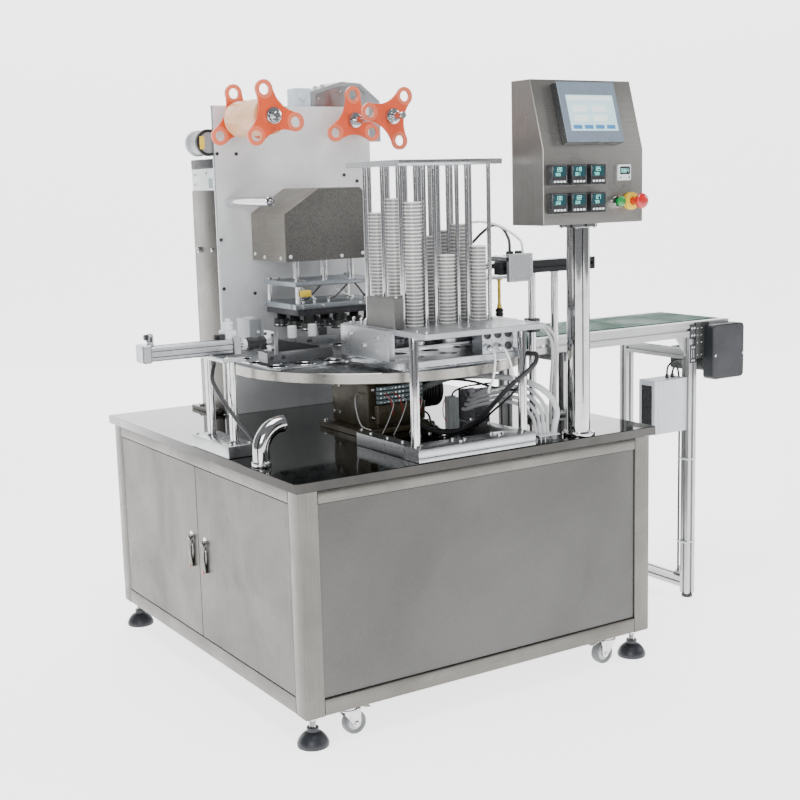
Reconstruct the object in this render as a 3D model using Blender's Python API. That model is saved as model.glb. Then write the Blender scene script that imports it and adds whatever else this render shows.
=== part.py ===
"""Rotary cup filling and sealing machine, built as separate pieces.

Sizes are in metres. The drawing frame has its corner at the near left corner of
the worktop's upper face: X runs right along the front, Y runs to the back, Z up.
place() moves that frame to the middle of the whole machine, on the floor.
"""
import math

import bmesh
import bpy
from mathutils import Matrix, Vector

# Rotary table: its rim sets where the stations stand
TABLE_R = 0.402
TABLE_TO_LEFT = 0.118
TABLE_TO_FRONT = 0.088
TABLE_X = TABLE_R + TABLE_TO_LEFT
TABLE_Y = TABLE_R + TABLE_TO_FRONT
TABLE_THICK = 0.026
TABLE_BOTTOM = 0.180
CUP_PITCH_X = 0.098
CUP_PITCH_Y = 0.082
CUP_TO_RIM = 0.048
CUP_ROW_R = TABLE_R - CUP_TO_RIM
POCKET_R = 0.0255
CUP_R = 0.0215
MOULD_THICK = 0.005
MOULD_HALF = 0.142
MOULD_INNER = CUP_ROW_R - 2 * CUP_PITCH_Y - 0.025
MOULD_OUTER = TABLE_R - 0.017

# Worktop and cabinet
WORKTOP_TO_RIGHT = 0.178
WORKTOP_TO_BACK = 0.286
WORKTOP_WIDTH = TABLE_X + TABLE_R + WORKTOP_TO_RIGHT
WORKTOP_DEPTH = TABLE_Y + TABLE_R + WORKTOP_TO_BACK
WORKTOP_THICK = 0.024
WORKTOP_HEIGHT = 0.648
FIT = 0.0004
FOOT_HEIGHT = 0.0776
FOOT_R = 0.040
FOOT_INSET = 0.045
FRAME_INSET = 0.012
FRAME_HEIGHT = WORKTOP_HEIGHT - WORKTOP_THICK - FIT - FOOT_HEIGHT
POST = 0.052
RAIL_TOP = 0.034
RAIL_BOTTOM = 0.043
PANEL_THICK = 0.003
PANEL_RECESS = 0.005
DOOR_GAP = 0.0015
DOOR_THICK = 0.018
DOOR_RECESS = 0.002
DOOR_PIVOT = 0.003
PIVOT_R = 0.0028
LATCH_SPINDLE_R = 0.008
LATCH_ABOVE_MIDDLE = 0.0309
LATCH_GRIP = 0.012
LATCH_EDGE = 0.041
CASTER_WHEEL_R = 0.030
CASTER_WHEEL_W = 0.024
CASTER_GAP = 0.002
CASTER_SHEET = 0.003
CASTER_AXLE_R = 0.004
CASTER_LIFT = 0.003
CASTER_TRAIL = 0.016
CASTER_INSET = 0.140

# Cup magazine
DECK_LEFT = TABLE_X - 0.182
DECK_RIGHT = TABLE_X + 0.174
DECK_FRONT = TABLE_Y - CUP_ROW_R - 0.171
DECK_BACK = DECK_FRONT + 0.380
DECK_TOP = 0.314
DECK_THICK = 0.014
GUIDE_R = 0.0055
GUIDE_OFFSET = 0.034
CAP_TOP = 0.718
CAP_THICK = 0.014

# Sealing station
TABLE_CLEARANCE = 0.033
TOWER_LEFT = TABLE_X - 0.250
TOWER_RIGHT = TABLE_X + 0.270
TOWER_FACE = TABLE_Y + TABLE_R + TABLE_CLEARANCE
TOWER_PLATE = 0.016
TOWER_TOP = 0.893
COLUMN_BACK = WORKTOP_DEPTH - 0.078
COLUMN_TOP = 0.655
HOOD_LEFT = TABLE_X - 0.144
HOOD_RIGHT = TABLE_X + 0.120
HOOD_DEPTH = 0.207
HOOD_FRONT = TOWER_FACE - HOOD_DEPTH
HOOD_BOTTOM = 0.452
HOOD_TOP = 0.655
HOOD_SHEET = 0.003
PRESS_PLATE_TOP = 0.397
PRESS_PLATE_THICK = 0.013
HEAD_TOP = 0.336
HEAD_THICK = 0.015
COLUMN_R = 0.007
REEL_LOBE = 0.073
REEL_LOBE_R = 0.026
REEL_PLATE = 0.009
REEL_REACH = 0.257
REEL_NEAR = TOWER_FACE - REEL_REACH
FILM_R = 0.050

# Left hand slide
SLIDE_Y = TABLE_Y - 0.035
SLIDE_Z = 0.268
SLIDE_TAIL = -0.173
SLIDE_NOSE = 0.090

# Control box
POLE_X = WORKTOP_WIDTH - 0.233
POLE_Y = 0.045
POLE_R = 0.030
BOX_LEFT = POLE_X - 0.164
BOX_RIGHT = POLE_X + 0.162
BOX_FRONT = -0.020
BOX_BACK = 0.105
BOX_BOTTOM = 0.550
BOX_EDGE = 0.733
BOX_TOP = 0.905
BOX_TOP_FRONT = 0.031

# Discharge conveyor
BELT_TOP = 0.224
BELT_THICK = 0.003
ROLLER_R = 0.020
CONVEYOR_GAP = 0.018
CONVEYOR_LENGTH = 0.772
CONVEYOR_START = TABLE_X + TABLE_R + CONVEYOR_GAP
CONVEYOR_END = CONVEYOR_START + CONVEYOR_LENGTH
BEAM_FRONT = TABLE_Y - 0.175
BEAM_BACK = TABLE_Y + 0.132
BEAM_WIDE = 0.030
BEAM_TALL = 0.045
LEG_FROM_END = 0.162
LEG_X = CONVEYOR_END - LEG_FROM_END
GUARD_PAST = 0.014

MACHINE_LEFT = SLIDE_TAIL
MACHINE_RIGHT = CONVEYOR_END + GUARD_PAST
MACHINE_FRONT = -0.074
MACHINE_BACK = WORKTOP_DEPTH
MID_X = (MACHINE_LEFT + MACHINE_RIGHT) / 2
MID_Y = (MACHINE_FRONT + MACHINE_BACK) / 2

for old in list(bpy.data.objects):
    bpy.data.objects.remove(old, do_unlink=True)
scene = bpy.context.scene
parts = bpy.data.collections.new("cup_sealing_machine")
tools = bpy.data.collections.new("cutters")
scene.collection.children.link(parts)
scene.collection.children.link(tools)


def place(x, y, z):
    """A point of the drawing frame in the machine's own frame."""
    return Vector((x - MID_X, y - MID_Y, z + WORKTOP_HEIGHT))


def tool_object(bm, name):
    """A helper body; it stays hidden and only feeds the boolean steps."""
    bmesh.ops.recalc_face_normals(bm, faces=bm.faces)
    if bm.calc_volume(signed=True) < 0.0:
        bmesh.ops.reverse_faces(bm, faces=bm.faces)
    mesh = bpy.data.meshes.new(name)
    bm.to_mesh(mesh)
    bm.free()
    obj = bpy.data.objects.new(name, mesh)
    tools.objects.link(obj)
    obj.hide_render = True
    obj.display_type = "WIRE"
    return obj


def rounded(obj):
    """Shades a round body smooth, with its real edges left sharp."""
    obj.data.shade_smooth()
    obj.data.set_sharp_from_angle(angle=math.radians(35))
    return obj


def box(x0, x1, y0, y1, z0, z1, bevel=0.0):
    """A square block between two corners, with its edges eased when asked."""
    bm = bmesh.new()
    bmesh.ops.create_cube(bm, size=1.0)
    size = Vector((x1 - x0, y1 - y0, z1 - z0))
    mid = place((x0 + x1) / 2, (y0 + y1) / 2, (z0 + z1) / 2)
    for v in bm.verts:
        v.co = Vector((v.co.x * size.x, v.co.y * size.y, v.co.z * size.z)) + mid
    if bevel > 0.0:
        bmesh.ops.bevel(bm, geom=bm.edges[:], offset=bevel, segments=1, affect="EDGES")
    return tool_object(bm, "block")


def turn_to(axis):
    """The turn that lays a body made along Z along the named axis."""
    if axis == "X":
        return Matrix.Rotation(math.pi / 2, 4, "Y")
    if axis == "Y":
        return Matrix.Rotation(-math.pi / 2, 4, "X")
    return Matrix.Identity(4)


def turned(points, x, y, z, axis="Z", sides=32, ring=False):
    """A profile spun about an axis through (x, y, z).

    points are (radius, height) pairs from one end to the other, and the ends
    are closed to the axis. A ring is left open through its middle, and its
    outline runs back to its first point.
    """
    outline = list(points)
    if ring:
        outline.append(points[0])
    else:
        outline.insert(0, (0.0, points[0][1]))
        outline.append((0.0, points[-1][1]))
    bm = bmesh.new()
    verts = [bm.verts.new((radius, 0.0, height)) for radius, height in outline]
    edges = [bm.edges.new(pair) for pair in zip(verts, verts[1:])]
    bmesh.ops.spin(bm, geom=verts + edges, cent=(0, 0, 0), axis=(0, 0, 1), angle=2 * math.pi, steps=sides)
    bmesh.ops.remove_doubles(bm, verts=bm.verts, dist=0.00001)
    middle = [v for v in bm.verts if v.co.xy.length < 0.00001]
    bmesh.ops.dissolve_verts(bm, verts=middle)
    bmesh.ops.rotate(bm, verts=bm.verts, matrix=Matrix.Rotation(math.pi / sides, 3, "Z"))
    bm.transform(Matrix.Translation(place(x, y, z)) @ turn_to(axis))
    return rounded(tool_object(bm, "turned"))


def rod(x, y, z, length, radius, axis="Z", sides=16):
    """A plain round bar that starts at (x, y, z) and runs along the axis."""
    bm = bmesh.new()
    bmesh.ops.create_cone(bm, cap_ends=True, segments=sides, radius1=radius, radius2=radius, depth=length)
    bmesh.ops.rotate(bm, verts=bm.verts, matrix=Matrix.Rotation(math.pi / sides, 3, "Z"))
    bmesh.ops.translate(bm, verts=bm.verts, vec=(0.0, 0.0, length / 2))
    bm.transform(Matrix.Translation(place(x, y, z)) @ turn_to(axis))
    return rounded(tool_object(bm, "rod"))


def many(objects):
    """Joins helper bodies that don't touch into one helper."""
    bm = bmesh.new()
    for obj in objects:
        bm.from_mesh(obj.data)
        mesh = obj.data
        bpy.data.objects.remove(obj, do_unlink=True)
        bpy.data.meshes.remove(mesh)
    return tool_object(bm, "set")


def sheet_profile(points, axis, start, end):
    """A flat outline drawn out along an axis.

    For axis Y the points are (x, z), for X they are (y, z), for Z (x, y).
    """
    spots = {"X": lambda a, b: (start, a, b), "Y": lambda a, b: (a, start, b), "Z": lambda a, b: (a, b,
                                                                                                  start)}
    bm = bmesh.new()
    face = bm.faces.new([bm.verts.new(place(*spots[axis](a, b))) for a, b in points])
    pulled = bmesh.ops.extrude_face_region(bm, geom=[face], use_keep_orig=True)["geom"]
    reach = Vector([(end - start) * (axis == name) for name in "XYZ"])
    bmesh.ops.translate(bm, verts=[v for v in pulled if isinstance(v, bmesh.types.BMVert)], vec=reach)
    return tool_object(bm, "outline")


def paint(name, colour, metal, rough):
    mat = bpy.data.materials.new(name)
    mat.use_nodes = True
    shader = mat.node_tree.nodes["Principled BSDF"]
    shader.inputs["Base Color"].default_value = (*colour, 1.0)
    shader.inputs["Metallic"].default_value = metal
    shader.inputs["Roughness"].default_value = rough
    return mat


def node(name, base, look, add=(), cut=(), origin=None):
    """Turns a helper body into a named piece.

    Bodies in add are fused on, bodies in cut are taken away, in that order.
    origin is the point of the drawing frame that its joint turns about.
    """
    tools.objects.unlink(base)
    parts.objects.link(base)
    base.name = name
    base.data.name = name
    base.hide_render = False
    base.display_type = "TEXTURED"
    if origin is not None:
        centre = place(*origin)
        base.data.transform(Matrix.Translation(-centre))
        base.location = centre
    for kind, bodies in (("UNION", add), ("DIFFERENCE", cut)):
        for body in bodies:
            mod = base.modifiers.new(kind.lower(), "BOOLEAN")
            mod.operation = kind
            mod.solver = "EXACT"
            mod.object = body
            body.name = name + "_" + kind.lower()
    base.data.materials.clear()
    base.data.materials.append(look(name))
    return base


def steel(name):
    return paint(name, (0.52, 0.50, 0.47), 0.9, 0.35)


def dark_steel(name):
    return paint(name, (0.25, 0.26, 0.27), 0.9, 0.15)


def painted(name):
    return paint(name, (0.30, 0.32, 0.36), 0.2, 0.5)


def aluminium(name):
    return paint(name, (0.72, 0.74, 0.76), 0.8, 0.4)


def chrome(name):
    return paint(name, (0.80, 0.80, 0.80), 1.0, 0.12)


def black(name):
    return paint(name, (0.02, 0.02, 0.022), 0.0, 0.5)


def orange(name):
    return paint(name, (0.80, 0.14, 0.07), 0.0, 0.45)


def green(name):
    return paint(name, (0.02, 0.12, 0.07), 0.0, 0.5)


def white(name):
    return paint(name, (0.80, 0.80, 0.80), 0.0, 0.4)


def red(name):
    return paint(name, (0.65, 0.02, 0.03), 0.0, 0.4)


# Cabinet frame: welded square tube with an opening on every side
frame_left = FRAME_INSET
frame_right = WORKTOP_WIDTH - FRAME_INSET
frame_front = FRAME_INSET
frame_back = WORKTOP_DEPTH - FRAME_INSET
frame_top = -WORKTOP_THICK - FIT
frame_bottom = frame_top - FRAME_HEIGHT
open_left = frame_left + POST
open_right = frame_right - POST
open_front = frame_front + POST
open_back = frame_back - POST
open_top = frame_top - RAIL_TOP
open_bottom = frame_bottom + RAIL_BOTTOM
node(
    "cabinet_frame",
    box(frame_left, frame_right, frame_front, frame_back, frame_bottom, frame_top, 0.002),
    steel,
    cut=[
        box(open_left, open_right, 0.0, WORKTOP_DEPTH, open_bottom, open_top),
        box(0.0, WORKTOP_WIDTH, open_front, open_back, open_bottom, open_top),
        box(open_left, open_right, open_front, open_back, frame_bottom - 0.01, frame_top + 0.01),
    ],
)

# Worktop: one polished plate laid on the frame
node("worktop", box(0.0, WORKTOP_WIDTH, 0.0, WORKTOP_DEPTH, -WORKTOP_THICK, 0.0, 0.002), dark_steel)

# Panels: plain sheets set into the frame's openings
panel_z0 = open_bottom + FIT
panel_z1 = open_top - FIT
front_panel_y = frame_front + PANEL_RECESS
node(
    "front_panel",
    box(open_left + FIT, open_right - FIT, front_panel_y, front_panel_y + PANEL_THICK, panel_z0, panel_z1),
    painted,
)
back_panel_y = frame_back - PANEL_RECESS
node(
    "rear_panel",
    box(open_left + FIT, open_right - FIT, back_panel_y - PANEL_THICK, back_panel_y, panel_z0, panel_z1),
    painted,
)
side_panel_x = frame_right - PANEL_RECESS
node(
    "right_panel",
    box(side_panel_x - PANEL_THICK, side_panel_x, open_front + FIT, open_back - FIT, panel_z0, panel_z1),
    painted,
)
floor_z = frame_bottom + 0.006
node(
    "floor_panel",
    box(open_left + FIT, open_right - FIT, open_front + FIT, open_back - FIT, floor_z, floor_z + PANEL_THICK),
    steel,
)

# Doors: two folded steel leaves on the left side, on pivot pins by the outer posts
door_x0 = frame_left + DOOR_RECESS
door_x1 = door_x0 + DOOR_THICK
door_split = (open_front + open_back) / 2
door_z0 = open_bottom + DOOR_GAP
door_z1 = open_top - DOOR_GAP
near_y0 = open_front + DOOR_GAP
near_y1 = door_split - DOOR_GAP
far_y0 = door_split + DOOR_GAP
far_y1 = open_back - DOOR_GAP
latch_z = (door_z0 + door_z1) / 2 + LATCH_ABOVE_MIDDLE
latch_near_y = near_y1 - LATCH_EDGE
latch_far_y = far_y0 + LATCH_EDGE
hole_r = LATCH_SPINDLE_R + FIT
pivot_x = door_x0 + DOOR_PIVOT
doors = (
    ("door_near", near_y0, near_y1, near_y0 + DOOR_PIVOT, latch_near_y),
    ("door_far", far_y0, far_y1, far_y1 - DOOR_PIVOT, latch_far_y),
)
for door_name, y0, y1, pivot_y, latch_y in doors:
    node(
        door_name,
        box(door_x0, door_x1, y0, y1, door_z0, door_z1),
        steel,
        add=[
            rod(pivot_x, pivot_y, door_z0 - DOOR_GAP + 0.0003, 0.010, PIVOT_R, "Z", 8),
            rod(pivot_x, pivot_y, door_z1 + DOOR_GAP - 0.0103, 0.010, PIVOT_R, "Z", 8),
        ],
        cut=[rod(door_x0 - 0.01, latch_y, latch_z, DOOR_THICK + 0.02, hole_r, "X", 12)],
        origin=(pivot_x, pivot_y, door_z0),
    )

# Latches: a handle in front of the leaf, a spindle through it and a cam behind
for latch_name, latch_y in (("latch_near", latch_near_y), ("latch_far", latch_far_y)):
    grip_x = door_x0 - FIT
    node(
        latch_name,
        box(grip_x - LATCH_GRIP, grip_x, latch_y - LATCH_SPINDLE_R, latch_y + LATCH_SPINDLE_R,
            latch_z - 0.086, latch_z + 0.014, 0.002),
        chrome,
        add=[
            rod(grip_x - LATCH_GRIP / 2, latch_y, latch_z, LATCH_GRIP / 2 + DOOR_THICK + 0.008,
                LATCH_SPINDLE_R, "X", 12),
            box(door_x1 + FIT, door_x1 + 0.004, latch_y - 0.010, latch_y + 0.010, latch_z - 0.042,
                latch_z + 0.010),
        ],
        origin=(door_x0, latch_y, latch_z),
    )

# Levelling feet: a domed pad on a threaded stem with a lock nut under the frame
floor_level = -WORKTOP_HEIGHT
foot_profile = [
    (FOOT_R, 0.0),
    (FOOT_R, 0.010),
    (FOOT_R * 0.80, 0.024),
    (0.014, 0.036),
    (0.014, 0.046),
    (0.008, 0.046),
    (0.008, FOOT_HEIGHT - 0.012),
    (0.015, FOOT_HEIGHT - 0.012),
    (0.015, FOOT_HEIGHT - FIT),
]
foot_x = (FOOT_INSET, WORKTOP_WIDTH - FOOT_INSET)
foot_y = (FOOT_INSET, WORKTOP_DEPTH - FOOT_INSET)
for side, fx in zip(("left", "right"), foot_x):
    for end, fy in zip(("front", "rear"), foot_y):
        node("foot_" + end + "_" + side, turned(foot_profile, fx, fy, floor_level, "Z", 12), black)

# Casters: a swivel fork under the frame rail and a wheel on its axle
wheel_z = floor_level + CASTER_LIFT + CASTER_WHEEL_R
wheel_top = wheel_z + CASTER_WHEEL_R
fork_half = CASTER_WHEEL_W / 2 + CASTER_GAP
fork_out = fork_half + CASTER_SHEET
crown_z = wheel_top + CASTER_GAP
caster_x = (CASTER_INSET, WORKTOP_WIDTH - CASTER_INSET)
caster_y = (frame_front + 0.030, frame_back - 0.030)
for side, cx in zip(("left", "right"), caster_x):
    for end, cy in zip(("front", "rear"), caster_y):
        tail = 1.0 if side == "left" else -1.0
        ax = cx + tail * CASTER_TRAIL
        head = sorted((cx - tail * 0.012, ax + tail * 0.012))
        pedal = sorted((ax + tail * 0.004, ax + tail * 0.046))
        node(
            "caster_fork_" + end + "_" + side,
            turned([(0.024, 0.0), (0.026, 0.006), (0.026, 0.010)], cx, cy, frame_bottom - 0.0104, "Z", 16),
            chrome,
            add=[
                box(head[0], head[1], cy - fork_out, cy + fork_out, crown_z, frame_bottom - 0.006),
                box(pedal[0], pedal[1], cy - 0.008, cy + 0.008, crown_z - 0.0008,
                    crown_z - 0.0008 + CASTER_SHEET),
                box(ax - 0.009, ax + 0.009, cy - fork_out, cy - fork_half, wheel_z - 0.010, crown_z + 0.002),
                box(ax - 0.009, ax + 0.009, cy + fork_half, cy + fork_out, wheel_z - 0.010, crown_z + 0.002),
                rod(ax, cy - fork_half - 0.001, wheel_z, 2 * fork_half + 0.002, CASTER_AXLE_R, "Y", 8),
            ],
            origin=(cx, cy, frame_bottom),
        )
        wheel = turned(
            [
                (CASTER_AXLE_R + 0.0005, 0.0),
                (CASTER_WHEEL_R * 0.80, 0.0),
                (CASTER_WHEEL_R, 0.004),
                (CASTER_WHEEL_R, CASTER_WHEEL_W - 0.004),
                (CASTER_WHEEL_R * 0.80, CASTER_WHEEL_W),
                (CASTER_AXLE_R + 0.0005, CASTER_WHEEL_W),
            ],
            ax, cy - CASTER_WHEEL_W / 2, wheel_z, "Y", 16, True,
        )
        node("caster_wheel_" + end + "_" + side, wheel, black, origin=(ax, cy, wheel_z))

# Index drive: a cam gearbox under the table's middle with its motor on the far right
GEARBOX_HALF = 0.085
GEARBOX_DEEP = 0.095
GEARBOX_TOP = 0.135
FLANGE_R = 0.075
MOTOR_R = 0.052
MOTOR_LENGTH = 0.150
MOTOR_BACK = 0.050
MOTOR_UP = 0.078
TERMINAL_HALF = 0.033
gearbox_right = TABLE_X + GEARBOX_HALF
gearbox_front = TABLE_Y - GEARBOX_DEEP
motor_y = TABLE_Y + MOTOR_BACK
terminal_x = gearbox_right + MOTOR_LENGTH / 2
table_top = TABLE_BOTTOM + TABLE_THICK
mould_top = table_top + MOULD_THICK
node(
    "index_drive",
    box(TABLE_X - GEARBOX_HALF, gearbox_right, gearbox_front, TABLE_Y + GEARBOX_DEEP, FIT, GEARBOX_TOP,
        0.003),
    dark_steel,
    add=[
        rod(TABLE_X, TABLE_Y, GEARBOX_TOP - 0.005, TABLE_BOTTOM - FIT - GEARBOX_TOP + 0.005, FLANGE_R, "Z",
            20),
        box(TABLE_X - GEARBOX_HALF - 0.035, gearbox_right + 0.035, gearbox_front - 0.015,
            TABLE_Y + GEARBOX_DEEP + 0.015,
            FIT, 0.016),
        rod(gearbox_right - 0.002, motor_y, MOTOR_UP, MOTOR_LENGTH, MOTOR_R, "X", 20),
        box(terminal_x - TERMINAL_HALF, terminal_x + TERMINAL_HALF, motor_y + MOTOR_R - 0.014,
            motor_y + MOTOR_R + 0.036,
            MOTOR_UP - 0.026, MOTOR_UP + 0.034, 0.002),
    ],
)

# Rotary table: a disc with four bolted mould plates and their cup pockets
pockets = []
plates = []
for k in range(4):
    turn = math.radians(-90 + 90 * k)
    out = Vector((math.cos(turn), math.sin(turn)))
    along = Vector((-math.sin(turn), math.cos(turn)))
    centre = Vector((TABLE_X, TABLE_Y))
    corners = []
    for r, s in ((MOULD_INNER, -1), (MOULD_OUTER, -1), (MOULD_OUTER, 1), (MOULD_INNER, 1)):
        corners.append(tuple(centre + out * r + along * (s * MOULD_HALF)))
    plates.append(sheet_profile(corners, "Z", table_top - 0.001, mould_top))
    for row in range(3):
        for column in (-1, 0, 1):
            at = centre + out * (CUP_ROW_R - CUP_PITCH_Y * row) + along * (CUP_PITCH_X * column)
            pockets.append(rod(at.x, at.y, TABLE_BOTTOM - 0.01, 0.06, POCKET_R, "Z", 10))
plate_set = many(plates)
trim = plate_set.modifiers.new("round", "BOOLEAN")
trim.operation = "INTERSECT"
trim.solver = "EXACT"
trim.object = rod(TABLE_X, TABLE_Y, TABLE_BOTTOM, 0.1, TABLE_R - 0.004, "Z", 64)
node(
    "rotary_table",
    turned([(TABLE_R - 0.001, 0.0), (TABLE_R, 0.001), (TABLE_R, TABLE_THICK - 0.001), (TABLE_R - 0.001,
                                                                                       TABLE_THICK)],
           TABLE_X, TABLE_Y, TABLE_BOTTOM, "Z", 64),
    painted,
    add=[plate_set, rod(TABLE_X, TABLE_Y, table_top - 0.001, 0.013, 0.060, "Z", 20)],
    cut=[many(pockets)],
    origin=(TABLE_X, TABLE_Y, TABLE_BOTTOM),
)

# Magazine stand: foot bars on the worktop's front edge and two round posts
post_z0 = 0.034
deck_bottom = DECK_TOP - DECK_THICK
node(
    "magazine_base",
    box(DECK_LEFT, DECK_RIGHT - 0.002, 0.004, 0.072, FIT, post_z0, 0.0015),
    aluminium,
    add=[
        box(DECK_LEFT + 0.003, DECK_LEFT + 0.040, 0.070, 0.300, FIT + 0.0002, post_z0 - 0.0003),
        box(DECK_RIGHT - 0.042, DECK_RIGHT - 0.005, 0.070, 0.300, FIT + 0.0002, post_z0 - 0.0003),
        rod(DECK_LEFT + 0.014, 0.038, post_z0 - 0.002, deck_bottom - FIT - post_z0 + 0.002, 0.0115, "Z", 16),
        rod(DECK_RIGHT - 0.017, 0.038, post_z0 - 0.002, deck_bottom - FIT - post_z0 + 0.002, 0.0115, "Z", 16),
    ],
)

# Magazine deck: the plate the cup stacks drop through, with the separator's drive housing
stack_y = [TABLE_Y - CUP_ROW_R + CUP_PITCH_Y * row for row in range(3)]
stack_x = [TABLE_X + CUP_PITCH_X * column for column in (-1, 0, 1)]
deck_holes = []
for sy in stack_y:
    for sx in stack_x:
        deck_holes.append(rod(sx, sy, deck_bottom - 0.01, 0.04, CUP_R + 0.0025, "Z", 10))
node(
    "magazine_deck",
    box(DECK_LEFT, DECK_RIGHT, DECK_FRONT, DECK_BACK, deck_bottom, DECK_TOP, 0.001),
    aluminium,
    add=[box(DECK_LEFT + 0.001, DECK_LEFT + 0.028, 0.100, 0.226, DECK_TOP - 0.001, DECK_TOP + 0.074, 0.0015)],
    cut=[many(deck_holes)],
)

# Separator box: side plates hung from the deck, a lower plate over the table and the air manifold
box_left = DECK_LEFT - 0.016
box_right = DECK_RIGHT + 0.016
side_top = DECK_TOP - 0.001
low_top = 0.238
low_bottom = 0.222
low_holes = []
for sy in stack_y:
    for sx in stack_x:
        low_holes.append(rod(sx, sy, low_bottom - 0.01, 0.04, CUP_R + 0.0025, "Z", 10))
manifold_x0 = TABLE_X + 0.046
manifold_front = 0.054
manifold_ports = []
for dx in (0.016, 0.048, 0.080):
    for dz in (0.016, 0.046):
        manifold_ports.append(
            rod(manifold_x0 + dx, manifold_front - 0.005, low_top + dz, 0.018, 0.0065, "Y", 8))
node(
    "separator_box",
    box(box_left, box_right, 0.050, 0.330, low_bottom, low_top, 0.001),
    aluminium,
    add=[
        box(box_left, DECK_LEFT - FIT, 0.100, 0.330, low_top - 0.001, side_top),
        box(DECK_RIGHT + FIT, box_right, 0.100, 0.330, low_top - 0.001, side_top),
        box(manifold_x0, manifold_x0 + 0.096, manifold_front, 0.096, low_top - 0.001, deck_bottom - FIT),
    ],
    cut=[many(low_holes), many(manifold_ports)],
)

# Cup load: nine nested stacks standing on the separator plate
sep_z0 = 0.262
sep_z1 = 0.268
stack_tops = ((0.622, 0.488, 0.512), (0.632, 0.532, 0.562), (0.596, 0.560, 0.540))
stacks = []
for row, sy in enumerate(stack_y):
    for column, sx in enumerate(stack_x):
        tall = stack_tops[row][column]
        stacks.append(turned(
            [(CUP_R * 0.8, 0.0), (CUP_R * 0.8, deck_bottom + 0.002 - sep_z1), (CUP_R,
                                                                               deck_bottom + 0.012 - sep_z1),
             (CUP_R, tall - sep_z1 - 0.003), (CUP_R * 0.84, tall - sep_z1 - 0.003), (CUP_R * 0.84,
                                                                                     tall - sep_z1)],
            sx, sy, sep_z1 - 0.001, "Z", 10))
node(
    "cup_load",
    box(DECK_LEFT, DECK_RIGHT, 0.104, 0.326, sep_z0, sep_z1),
    white,
    add=[many(stacks)],
)

# Guide rods: three round bars round every stack, screwed into the cap plate
rods = []
guide_z0 = DECK_TOP + FIT
guide_len = CAP_TOP - CAP_THICK + 0.002 - guide_z0
for sy in stack_y:
    for sx in stack_x:
        for dx, dy in ((-1, 0), (1, 0), (0, 1)):
            rods.append(rod(sx + dx * GUIDE_OFFSET, sy + dy * GUIDE_OFFSET, guide_z0, guide_len, GUIDE_R, "Z",
                            8))
cap_left = stack_x[0] - GUIDE_OFFSET - 0.022
cap_right = stack_x[2] + GUIDE_OFFSET + 0.022
node(
    "magazine_rods",
    box(cap_left, cap_right, stack_y[0] - 0.030, stack_y[2] + 0.056, CAP_TOP - CAP_THICK, CAP_TOP, 0.001),
    chrome,
    add=[many(rods)],
)


# Tower column: a steel box on the worktop's rear edge, with the valve box on its top
column_front = TOWER_FACE + TOWER_PLATE + FIT
valve_top = 0.745
node(
    "tower_column",
    box(TOWER_LEFT + 0.001, TOWER_RIGHT, column_front, COLUMN_BACK, FIT, COLUMN_TOP, 0.002),
    steel,
    add=[
        box(TOWER_LEFT - 0.024, TOWER_RIGHT + 0.024, column_front + 0.012, COLUMN_BACK + 0.024, FIT, 0.012),
        box(TOWER_LEFT + 0.002, TOWER_LEFT + 0.130, column_front + 0.004, COLUMN_BACK - 0.004,
            COLUMN_TOP - 0.001, valve_top - 0.026, 0.001),
        box(TOWER_LEFT + 0.001, TOWER_LEFT + 0.132, column_front + 0.002, COLUMN_BACK - 0.002,
            valve_top - 0.027, valve_top, 0.001),
    ],
)

# Tower plate: the painted plate that carries reels, press and film guide
press_x = TABLE_X
press_y = TABLE_Y + CUP_ROW_R - CUP_PITCH_Y
UNWIND_X = TOWER_LEFT + 0.057
REWIND_X = TOWER_LEFT + 0.438
REEL_Z = 0.851
SHAFT_R = 0.010
ROLLER_X = TOWER_LEFT + 0.039
ROLLER_Z = 0.622
GUIDE_LEFT = TOWER_LEFT + 0.030
GUIDE_RIGHT = GUIDE_LEFT + 0.420
GUIDE_BAR = 0.013
GUIDE_LOW = 0.224
GUIDE_TALL = 0.024
GUIDE_FRONT = REEL_NEAR - 0.030
BRAKE_R = 0.038
BRAKE_LONG = 0.085
BRAKE_Z = 0.790
COVER_LEFT = TOWER_LEFT + 0.330
COVER_WIDE = 0.240
COVER_DEEP = 0.100
COVER_Z = 0.790
COVER_TALL = 0.178
ACTUATOR_WIDE = 0.0575
ACTUATOR_TALL = 0.095
ACTUATOR_DEEP = 0.043
spindle_r = 0.006
plate_back = TOWER_FACE + TOWER_PLATE
guide_high = GUIDE_LOW + GUIDE_TALL
actuator_x1 = COVER_LEFT - 0.0015
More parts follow.
